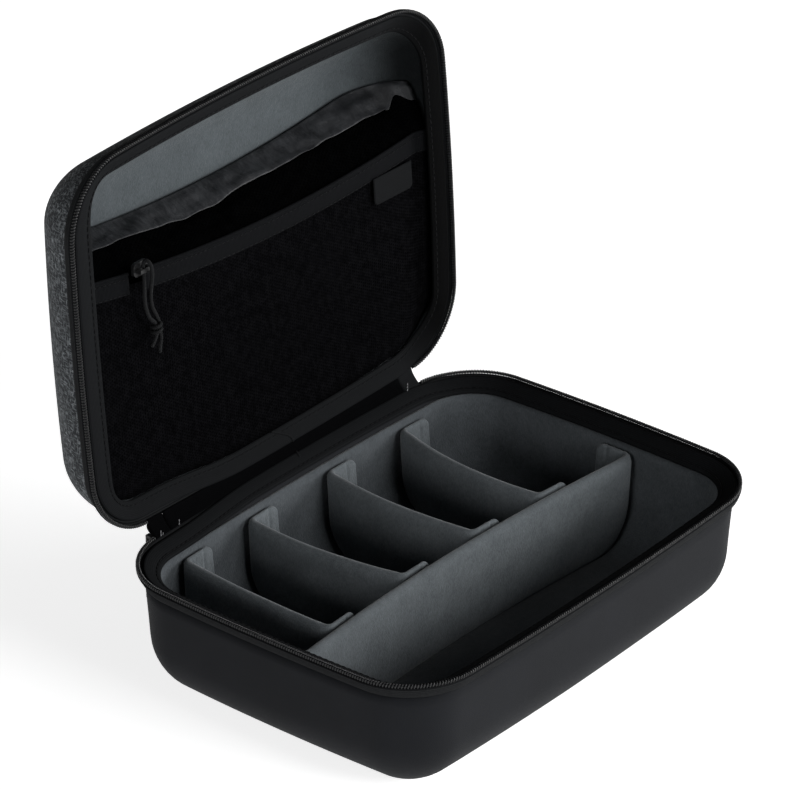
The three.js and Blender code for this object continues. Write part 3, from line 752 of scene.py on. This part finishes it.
lid_lining_inner = filled(
    [(LID_LINING_IN, MIRROR - LINING_TOP)] + dome(LID_LINING_IN, LID_INNER_R, LID_INNER_Z, 14)[::-1], 4)
finish_piece(
    loft("lid_lining_cloth", cup_loops(lid_lining_outer, lid_lining_inner), lid_rim),
    LID_LINING, "lid", ["lid_lining"])


# --- rim: bands, bindings, coils and their stitches -----------------------------------------
def ribbed_band(belly):
    """The zip band's section: its outer face bellies out under the lip, in close ridges."""
    foot, lip = np.array((LIP, LINING_TOP)), np.array((0.1, 59.9))
    along = lip - foot
    out_way = np.array((-along[1], along[0])) / np.linalg.norm(along)
    out = []
    for t in np.linspace(0, 1, 43):
        ridge = 0.1 * abs(math.sin(math.pi * 6 * t))
        out.append(tuple(foot + along * t + out_way * (belly * math.sin(math.pi * t**0.8) + ridge)))
    return out + [(0.4, 60.25), (0.9, 60.35), (1.3, 60.2), (3.2, 57.4), (5.1, 54.6)]


GROOVE_TAPE = [(1.5, 59.5), (2.6, 59.75), (3.9, 59.35), (5.2, 58.6), (5.0, 57.9), (2.2, 59.1)]


def binding_section():
    """The inner binding's section: rolled over the foam's edge, with a turned-in inner hem."""
    top = [(3.2, 59.55), (3.25, 60.1), (3.6, 60.45), (4.4, 60.2), (6.6, 58.9), (8.4, 57.75),
           (8.9, 57.25), (9.3, 57.2), (10.0, 56.8), (10.65, 56.3), (10.9, 55.8), (10.75, 55.3)]
    return top + [(10.2, 55.05), (8.2, 56.1), (5, 57.9), (3.4, 58.9)]


def levels(profile):
    return [level(*p) for p in profile]


def smooth_step(value):
    t = np.clip(value, 0, 1)
    return t * t * (3 - 2 * t)


def hinge_sag(points, sag=HINGE_SAG, outward=-1):
    """On the hinge side, where no coil runs, a binding lies further out, over the rim's edge."""
    x, y = points[..., 0], points[..., 1]
    share = smooth_step((x + 80) / 55) * smooth_step((104 - x) / 22) * smooth_step((y - 71) / 8)
    return np.stack([x, y + sag * share, points[..., 2] + outward * 0.55 * sag * share], -1)


def lid_binding_levels(profile):
    return [hinge_sag(loop) for loop in lid_levels(profile)]


def base_binding_levels(profile):
    return [hinge_sag(loop, BASE_SAG, 1) for loop in levels(profile)]


def lid_levels(profile):
    """Loops of a section that stands on the lid's rim. On the short sides the pocket's net draws
    it nearly flat, and further in."""
    share = np.clip(1 - (HALF_W - np.abs(outline(0)[:, 0])) / CORNER_R, 0, 1)[:, None] ** 2
    out = []
    for inset, z in profile:
        above = z - (60.8 - 0.571 * (inset - 2.4))
        flat = level(inset + 0.42 * max(0, inset - 2.4), MIRROR - (60.7 - 0.01 * inset + above))
        out.append(level(inset, MIRROR - z) * (1 - share) + flat * share)
    return out


ROWS = {
    "base": (as_drawn, lambda profile: profile, levels, base_binding_levels),
    "lid": (lid_rim, mirrored, lid_levels, lid_binding_levels),
}


COIL_INSET, COIL_Z, COIL_PITCH = 0.95, 61.45, 1.3


def coil_middle(flip):
    """The line along the middle of the zip's coil, from one zip end to the other."""
    rim = back_left_first(level(COIL_INSET, MIRROR - COIL_Z if flip else COIL_Z))
    return rim[: len(rim) - LONG_STEPS]


def coil_line(flip):
    """The zip's nylon coil: round the rim in flattened turns."""
    rim = coil_middle(False)
    per_turn = 12
    line = resample(rim, int(lengths_along(rim)[-1] / COIL_PITCH) * per_turn + 1)
    ahead = np.gradient(line, axis=0)
    ahead /= np.linalg.norm(ahead, axis=1)[:, None]
    out = np.cross(ahead, (0, 0, 1))
    turn = 2 * math.pi * np.arange(len(line)) / per_turn
    line = line + 0.72 * np.cos(turn)[:, None] * out
    line[:, 2] += 0.8 * np.sin(turn)
    if flip:
        line[:, 2] = MIRROR - line[:, 2]
    return line


def band_levels(turn):
    """The band's loops. Its belly goes flat towards the hinge, where the zip's sliders park."""
    full, flat = levels(turn(ribbed_band(0.9))), levels(turn(ribbed_band(0)))
    return [a + (b - a) * smooth_step((a[:, 1:2] - 60) / 12) for a, b in zip(full, flat)]


for half, (place, turn, loops, binding_loops) in ROWS.items():
    finish_piece(
        loft(f"{half}_zip_band", band_levels(turn), place, wrap=True),
        BAND, half, [f"{half}_zip_tape"])
    finish_piece(loft(f"{half}_groove_tape", loops(GROOVE_TAPE), place, wrap=True), BAND, half)
    finish_piece(
        loft(f"{half}_binding", binding_loops(binding_section()), place, wrap=True),
        LID_BINDING if half == "lid" else BINDING, half, [f"{half}_rim_binding"])
    finish_piece(
        tubes(f"{half}_coil", [coil_line(half == "lid")], 0.3, 5, place),
        COIL, half, [f"{half}_zip_coil"])
    filler = resample(coil_middle(half == "lid"), 420)
    finish_piece(tubes(f"{half}_coil_filler", [filler], 0.6, 8, place), BAND, half)
    up = (0, 0, 1) if half == "base" else (0, 0, -1)
    seam = back_left_first(binding_loops([(9.1, 57.32)])[0])
    stitches(f"{half}_binding_stitches", np.vstack([seam, seam[:1]]), 3.1, 2.2, 0.42, 0.22,
             THREAD, half, place, up)


def binding_top(inset):
    return 60.45 - 0.625 * max(0, inset - 3.9)


# The lid's binding laps over itself on the hinge side, and the base's has a small notch there.
LAP = [(11, -2.4), (10, -0.4), (8.8, 2), (7.6, 4.2), (6.6, 5.6), (5.6, 6.6), (4.6, 7), (3.4, 7.1)]
lap = np.array([(x, long_side_y(x, inset), MIRROR - binding_top(inset) - 0.15) for inset, x in LAP])
finish_piece(
    tubes("lid_lap_seam", [smooth_line(hinge_sag(lap), 4)], 0.5, 6, lid_rim), BAND, "lid")
notch = np.array([(6 - 0.3 * k, long_side_y(6, 3.2 + k), binding_top(3.2 + k) + 0.1) for k in range(4)])
finish_piece(tubes("base_notch", [hinge_sag(notch, BASE_SAG, 1)], 0.45, 6), BAND, "base")


# --- sewn hinge -----------------------------------------------------------------------------
def hinge_piece(name, x0, x1, thick, out, folds):
    """A strip of cloth from the base's rim to the lid's, bowed to the back, with soft folds."""
    xs = np.linspace(x0, x1, max(8, round((x1 - x0) / 2.5)))
    ts = np.linspace(0, 1, 15)

    def side(inset, bulge):
        low = np.stack([xs, long_side_y(xs, inset), np.full(len(xs), PARTING_Z - 1.6)], 1)
        high = lid_rim(np.stack([xs, long_side_y(xs, inset), np.full(len(xs), PARTING_Z + 1.6)], 1))
        rows = low[None] + (high - low)[None] * ts[:, None, None]
        swell = bulge * np.sin(math.pi * ts)[:, None] * (1 + folds * np.sin(xs / 2.1)[None] * 0.3)
        rows[..., 1] += swell
        return rows

    return sheet(name, side(1.7, out), side(1.7 - thick, out + thick * 0.55))


def add_hinge():
    spans = {
        "hinge_strip": (-TAB_X0, TAB_X0, 1, 0.8, 0.25),
        "hinge_tab_left": (-ZIP_END_X + 0.6, -TAB_X0 - GAP, 1.6, 1, 0),
        "hinge_tab_right": (TAB_X0 + GAP, ZIP_END_X - 0.6, 1.6, 1, 0),
    }
    for name, (x0, x1, thick, out, folds) in spans.items():
        piece = hinge_piece(name + "_cloth", x0, x1, thick, out, folds)
        material = BINDING if name == "hinge_tab_right" else HINGE_CLOTH
        finish_piece(piece, material, None, [name])
        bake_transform(piece)
    # Pale stitch ends: along the right tab's inner edge, and on and beside the left tab.
    for side, columns in (("left", ((-88, 2), (-86.6, 1), (-75.5, 2))), ("right", ((TAB_X0 + 1.2, 3),))):
        rows = []
        for x, count in columns:
            y = float(long_side_y(x, 1.7)) - 0.2
            for k in range(count):
                z = PARTING_Z - 1.2 + 1.5 * k
                rows.append(np.array([(x, y, z), (x + 0.3, y + 0.15, z + 1)]))
        lines = [resample(r, 4) for r in rows]
        piece = tubes(f"hinge_tab_stitches_{side}", lines, 0.2, 5)
        finish_piece(piece, PALE_THREAD, None)
        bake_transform(piece)


add_hinge()


# --- dividers -------------------------------------------------------------------------------
def long_front(x):
    return -10.3 - 8.7 * ((x + 12) / 126) ** 2


MID_OFF = WALL_CLEAR + HOOK + GAP + FLANGE / 2  # from the lining to the middle of a wall flap
BEND_R = 3.4  # how tightly a panel turns into its flap
PANEL_HALF, FLAP_HALF = 2.9, 1.1  # half the thickness of the cloth-covered foam, plumped up
FLAP_STEPS = 25
FLAP_ROUND, FLAP_SEAM = 5, 6.5  # the flap's corner radius, and its sewn line's place from its end


def quarter(centre, r, start_deg, end_deg, steps=6):
    turn = np.radians(np.linspace(start_deg, end_deg, steps + 1))
    return np.stack([centre[0] + r * np.cos(turn), centre[1] + r * np.sin(turn)], 1)


def short_route(i, z):
    """The middle line, in plan, of a short divider at a height: wall flap, panel, front flap.
    Returns the points and each one's half thickness and foot."""
    back_x, front_x, bow = SHORT_BACK_X[i], SHORT_FRONT_X[i], SHORT_BOW[i]
    wall = lambda x: long_side_y(x, inner_inset(z) + MID_OFF)
    rail = lambda x: long_front(x) + PAD + HOOK + 2 * GAP + FLANGE / 2
    ends = back_x - PAD / 2 + FLANGE_LONG, front_x - PAD / 2 + FLANGE_LONG
    flap_x = np.linspace(ends[0], back_x + BEND_R, FLAP_STEPS)
    back = np.stack([flap_x, wall(flap_x)], 1)
    top = wall(back_x + BEND_R) - BEND_R
    bend = quarter((back_x + BEND_R, top), BEND_R, 90, 180)
    foot = rail(front_x + BEND_R) + BEND_R
    t = np.linspace(0, 1, 25)
    panel = np.stack([back_x + (front_x - back_x) * t - 4 * bow * t * (1 - t), top + (foot - top) * t], 1)
    turn = quarter((front_x + BEND_R, foot), BEND_R, 180, 270)
    flap_x = np.linspace(front_x + BEND_R, ends[1], FLAP_STEPS)
    front = np.stack([flap_x, rail(flap_x)], 1)
    return [back, bend[1:-1], panel, turn[1:-1], front]


def long_route(z):
    """The same for the long divider: left wall flap, panel, right wall flap."""
    parts = []
    middle = lambda x: long_front(x) + PAD / 2
    for sign in (-1, 1):
        wall = lambda y: sign * short_side_x(y, inner_inset(z) + MID_OFF)
        y0 = middle(sign * 113) + BEND_R
        flap_y = np.linspace(y0 - BEND_R - PAD / 2 + FLANGE_LONG, y0, FLAP_STEPS)
        flap = np.stack([wall(flap_y), flap_y], 1)
        corner = wall(y0) - sign * BEND_R
        start, end = (180, 270) if sign < 0 else (0, -90)
        bend = quarter((corner, y0), BEND_R, start, end)
        parts += [flap, bend[1:-1], corner]
    left, bend_left, x0, right, bend_right, x1 = parts
    x = np.linspace(x0, x1, 49)
    share = (x - x0) / (x1 - x0)
    # The panel's ends meet the bends, whose height in plan is fixed by the flaps.
    ends = (middle(-113) - middle(x0)) * (1 - share) + (middle(113) - middle(x1)) * share
    # It plumps up to the front only, where nothing touches it.
    plump = PANEL_HALF - PAD / 2 - 0.2
    panel = np.stack([x, middle(x) + ends - plump * np.sqrt(4 * share * (1 - share))], 1)
    return [left, bend_left, panel, bend_right[::-1], right[::-1]]


def pad_strip(name, route, feet, body, nodes, seed):
    """A padded cloth strip that stands on edge: thin flaps, a thicker panel, round edges."""
    first = route(30.0)
    halves = np.concatenate([
        np.full(len(p), FLAP_HALF if k in (0, 4) else PANEL_HALF) for k, p in enumerate(first)])
    for k in (1, 3):  # the pad thickens through each bend
        at = sum(len(p) for p in first[:k])
        n = len(first[k])
        lift = np.linspace(0, 1, n + 2)[1:-1]
        lift = lift if k == 1 else lift[::-1]
        halves[at:at + n] = FLAP_HALF + (PANEL_HALF - FLAP_HALF) * lift
    foot = np.concatenate([np.full(len(p), feet[k]) for k, p in enumerate(first)])
    line = np.concatenate(first)
    s = lengths_along(line)
    from_end = np.minimum(s, s[-1] - s)
    edge = np.array([0, 0.1, 0.35, 0.8, 1.6, 3.2])
    rows = len(edge) * 2 + 14
    front, back = [], []
    for r in range(rows):
        z = np.empty(len(line))
        for c in range(len(line)):
            tall = DIVIDER_TOP - foot[c]
            inner = np.linspace(edge[-1], tall - edge[-1], rows - 2 * len(edge) + 2)[1:-1]
            z[c] = foot[c] + np.concatenate([edge, inner, tall - edge[::-1]])[r]
        plan = np.array([np.concatenate(route(float(h)))[c] for c, h in enumerate(z)]) \
            if r < rows // 2 else np.concatenate(route(float(z[len(z) // 2])))
        ahead = np.gradient(plan, axis=0)
        ahead /= np.linalg.norm(ahead, axis=1)[:, None]
        normal = np.stack([-ahead[:, 1], ahead[:, 0]], 1)
        near = np.minimum(np.minimum(DIVIDER_TOP - z, z - foot), from_end)
        near = np.clip(near / (1.35 * halves), 0, 1)
        thick = halves * np.sqrt(np.clip(1 - (1 - near) ** 2, 0, 1))
        thick *= 1 - 0.5 * np.exp(-((from_end - FLAP_SEAM) / 0.6) ** 2)
        cut = FLAP_ROUND - np.sqrt(FLAP_ROUND**2 - np.maximum(0, FLAP_ROUND - from_end) ** 2)
        z = foot + cut + (z - foot) * (1 - 2 * cut / (DIVIDER_TOP - foot))
        points = np.column_stack([plan, z])
        soft = bumpy(points, 22, 0.5, seed) * near * (halves > 1.2)
        full = 0.35 * near * (halves > 1.5) * np.sin(math.pi * (z - foot) / (DIVIDER_TOP - foot))
        z_top = z + 0.25 * bumpy(points, 30, 1, seed + 5) * (z - foot) / (DIVIDER_TOP - foot)
        for side, grid in ((1, front), (-1, back)):
            shift = side * (thick + full) + soft
            grid.append(np.column_stack([plan + normal * shift[:, None], z_top]))
    piece = sheet(name, np.array(front), np.array(back))
    weld(piece)
    finish_piece(piece, DIVIDER, body, nodes)


def weld(piece):
    """Joins the points that two sides share along an edge of no thickness."""
    mesh = bmesh.new()
    mesh.from_mesh(piece.data)
    bmesh.ops.remove_doubles(mesh, verts=mesh.verts, dist=0.02 * MM)
    bmesh.ops.recalc_face_normals(mesh, faces=mesh.faces)
    mesh.to_mesh(piece.data)
    mesh.free()


def flap_nodes(stem, ends):
    return [f"{stem}_panel"] + [f"{stem}_flap_{end}" for end in ends]


for i in range(4):
    stem = f"short_divider_{i + 1}"
    pad_strip(f"{stem}_pad", lambda z, i=i: short_route(i, z),
              (FLAP_FOOT, FLAP_FOOT, DIVIDER_FOOT, DIVIDER_FOOT, DIVIDER_FOOT),
              stem, flap_nodes(stem, ("back", "front")), 11 + i)
pad_strip("long_divider_pad", long_route,
          (FLAP_FOOT, FLAP_FOOT, DIVIDER_FOOT, FLAP_FOOT, FLAP_FOOT),
          "long_divider", flap_nodes("long_divider", ("left", "right")), 21)

for name, piece in frame["nodes"].items():
    if "_hook_" in name:
        piece.data.materials.clear()
        piece.data.materials.append(HOOK_TAPE)


# --- lid pocket -----------------------------------------------------------------------------
def seam_y(x):
    return -35.3 - 8 * (x / 107) ** 2


def ceiling_at(x):
    over = np.maximum(0, np.abs(x) - (HALF_W - LID_LINING_IN - LID_DRAFT - LID_INNER_R))
    return LID_INNER_Z - LID_INNER_R + np.sqrt(np.maximum(0, LID_INNER_R**2 - over**2)) - ROOF_CLEAR


def mesh_z(x, y):
    return MESH_Z - MESH_SAG * (1 - (x / HALF_W) ** 2) * (1 - (y / HALF_D) ** 2)


def net_z(x, y):
    """The net's height, drawn up to the binding at its two ends."""
    return mesh_z(x, y) - 3.4 * smooth_step((np.abs(x) - 107) / 6)


def pocket_front():
    """The net, from under the zip band down to the hinge side of the rim."""
    a, b, r = HALF_W - POCKET_INSET, HALF_D - POCKET_INSET, CORNER_R - POCKET_INSET
    grid = []
    for u in np.linspace(-0.995, 0.995, 81):
        over = max(0, abs(u) * a - (a - r))
        low = b - r + math.sqrt(r**2 - over**2)
        high = band_top(u * a) + 6.5
        t = np.linspace(0, 1, 31)
        y = high + (low - high) * t
        x = u * a * (1 - BOW_SHORT * (y / b) ** 2)
        bent = y * (1 - BOW_LONG * u**2 * t)
        grid.append(np.stack([x, bent, net_z(x, bent)], 1))
    grid = hinge_sag(np.array(grid))
    quiet = np.clip(np.minimum(1 - np.abs(np.linspace(-1, 1, 81)), 0.3) / 0.3, 0, 1)[:, None]
    grid[..., 2] -= bumpy(grid, 45, 0.5, 31) * quiet
    behind = grid.copy()
    behind[..., 2] += 0.6
    piece = sheet("pocket_net_cloth", grid, behind, open_lid)
    finish_piece(piece, NET, "lid", ["pocket_mesh"])


def pocket_band(name, x0, x1, steps, nodes):
    """A zip tape half folded over the net's edge: its coil's ridge lies along the top."""
    t = np.array([0, 0.03, 0.06, 0.1, 0.14, 0.18, 0.22, 0.3, 0.5, 0.7, 0.86, 0.93, 0.97, 1])
    rise = np.array([0.2, 0.62, 0.72, 0.62, 0.3, 0.16, 0.28, 0.3, 0.32, 0.3, 0.26, 0.34, 0.3, 0.12])
    xs = np.linspace(x0, x1, steps)
    y = band_top(xs)[:, None] + BAND_W * t[None]
    x = np.repeat(xs[:, None], len(t), 1)
    z = net_z(x, y)
    front = np.stack([x, y, z - 0.75 - rise[None] - bumpy(np.stack([x, y, z], -1), 25, 0.15, 41)], -1)
    back = np.stack([x, y, z - 0.3], -1)
    piece = sheet(name, front, back, open_lid)
    finish_piece(piece, POCKET_TAPE, "lid", nodes)


def pocket_stitches():
    for name, x0, x1 in (("left", -112, SLIDER_X - 6), ("right", SLIDER_X + 6, 112)):
        for row, share in (("low", 0.93), ("high", 0.27)):
            xs = np.linspace(x0, x1, 80)
            y = band_top(xs) + BAND_W * share
            line = np.stack([xs, y, net_z(xs, y) - 1.12], 1)
            stitches(f"pocket_{row}_stitches_{name}", line, 3.0, 2.1, 0.34, 0.16,
                     THREAD, "lid", open_lid, (0, 0, -1))


GUSSET_X = 103.5


def roof_grid(t0, t1, rows, cols, ripple, seed):
    end = float(short_side_x(-40, POCKET_INSET)) - 0.5
    x = np.linspace(-end, end, cols)[:, None]
    t = np.linspace(t0, t1, rows)[None]
    z0 = net_z(x, band_top(x)) + 0.2
    y = band_top(x) + 1 + (seam_y(x) - band_top(x) - 1) * t - 2 * np.sin(math.pi * t)
    z = z0 + (ceiling_at(x) - z0) * t
    grid = np.stack(np.broadcast_arrays(x + 0 * t, y, z), -1)
    loose = np.sin(math.pi * np.clip(t, 0, 1)) ** 0.7
    folds = bumpy(grid * (0.3, 1.3, 0.9), 13, 1, seed) + 0.45 * bumpy(grid * (0.5, 1, 1), 6, 1, seed + 1)
    grid[..., 1] -= ripple * folds * loose
    # At both ends the roof puffs up into a side gusset, behind a sharp crease.
    beyond = np.abs(grid[..., 0]) - GUSSET_X
    puff = smooth_step(beyond / 3) * (1 - 0.6 * smooth_step((beyond - 3) / 6))
    grid[..., 1] -= (5 * puff - 1.2 * np.exp(-(beyond / 1.3) ** 2)) * loose
    return grid


def pocket_roof():
    for name, t0, t1, rows, material, slot, area in (
        ("roof_mesh", 0, 0.485, 22, ROOF_NET, "mesh_net", (0.223, 0.016)),
        ("roof", 0.5, 1, 24, NYLON, "nylon", (0.223, 0.019)),
    ):
        front = roof_grid(t0, t1, rows, 220, 2.8, 51)
        # The cloth thins to nothing at its cut edges, as a turned hem does.
        hem = np.minimum(1, 0.04 + np.minimum(np.arange(rows), np.arange(rows)[::-1]) / 2)
        back = front + np.array((0, 0.6, 0.3)) * hem[None, :, None]
        piece = sheet(f"pocket_{name}_cloth", front, back, open_lid)
        finish_piece(piece, material, "lid", [f"pocket_{name}"])


def pocket_label():
    """A blank woven label with a raised border, hanging from the band's lower edge."""
    dx = np.linspace(0, LABEL_W, 28)[:, None]
    dy = np.linspace(0, LABEL_H, 15)[None]
    corner = 2 - np.sqrt(4 - np.maximum(0, 2 - (LABEL_H - dy)) ** 2)  # rounds the lower corners
    x = LABEL_X + dx + corner * (1 - dx / (LABEL_W / 2))
    y = band_top(LABEL_X) + 0.9 * BAND_W + 0.02 * dx + dy
    z = net_z(x, y) - 1.6
    near = np.minimum(np.minimum(dx, LABEL_W - dx), LABEL_H - dy)
    border = 0.12 * (np.abs(near - 1.2) < 0.6)
    front = np.stack([x, y, z - 0.5 - border], -1)
    back = np.stack([x, y, z], -1)
    piece = sheet("pocket_label_cloth", front, back, open_lid)
    finish_piece(piece, LABEL, "lid", ["pocket_label"])


pocket_front()
band_end = float(short_side_x(-25, POCKET_INSET)) - 0.2
pocket_band("pocket_band_left_tape", -band_end, SLIDER_X - 5, 16, ["pocket_band_left"])
pocket_band("pocket_band_right_tape", SLIDER_X + 5, band_end, 100, ["pocket_band_right"])
pocket_stitches()
pocket_roof()
pocket_label()


# --- sliders and pulls keep their made shape, with softened edges ---------------------------
def soften(piece, width, material):
    piece.data.materials.clear()
    piece.data.materials.append(material)
    bevel = piece.modifiers.new("soft edges", "BEVEL")
    bevel.width, bevel.segments, bevel.limit_method = width * MM, 3, "ANGLE"
    bevel.harden_normals = False


for name in ("zip_slider_left", "zip_slider_right", "pocket_slider"):
    soften(frame["nodes"][name], 0.35, METAL)
for name in ("zip_pull_left", "zip_pull_right"):
    soften(frame["nodes"][name], 0.4, RUBBER)


# --- floor and light ------------------------------------------------------------------------
def add_floor():
    half = 6000
    corners = [(-half, -half, -0.05), (half, -half, -0.05), (half, half, -0.05), (-half, half, -0.05)]
    floor = make_mesh("floor", corners, [(0, 1, 2, 3)])
    material, tree, shader = new_material("pale_floor", Specular_IOR_Level=0.1)
    cloud = speckle(tree, object_place(tree), 3, 3)
    colour = blend_colour(tree, cloud, (0.93, 0.93, 0.93), (0.96, 0.96, 0.96))
    set_surface(tree, shader, colour, ramp(tree, cloud, 0.3, 0.7, 0.8, 0.9), cloud, 0.0001)
    tree.links.new(colour, shader.inputs["Emission Color"])  # a light table, so that it stays white
    shader.inputs["Emission Strength"].default_value = 0.8
    floor.data.materials.append(material)


# Each light's name, place and size in metres, and power in watts.
LIGHTS = (
    ("key", (1.92, -1.61, 0.70), 1.3, 52),
    ("front low", (0, -2.5, 0.70), 1.3, 21),
    ("front high", (0, -2.32, 1.26), 1.0, 22),
    ("right", (2.44, -0.65, 0.71), 1.2, 7),
    ("left", (-2.48, -0.44, 0.71), 1.2, 18),
)


def area_light(name, at, size, watts, aim=(0, 0.03, 0.08)):
    data = bpy.data.lights.new(name, "AREA")
    data.shape, data.size, data.energy = "DISK", size, watts
    light = bpy.data.objects.new(name, data)
    light.location = at
    light.rotation_euler = (Vector(aim) - Vector(at)).to_track_quat("-Z", "Y").to_euler()
    bpy.context.scene.collection.objects.link(light)


def add_light():
    world = bpy.data.worlds.new("studio")
    world.use_nodes = True
    world.node_tree.nodes["Background"].inputs[0].default_value = (1, 1, 1, 1)
    world.node_tree.nodes["Background"].inputs[1].default_value = 0.025
    bpy.context.scene.world = world
    for light in LIGHTS:
        area_light(*light)
    bpy.context.scene.view_settings.view_transform = "Standard"


add_floor()
add_light()
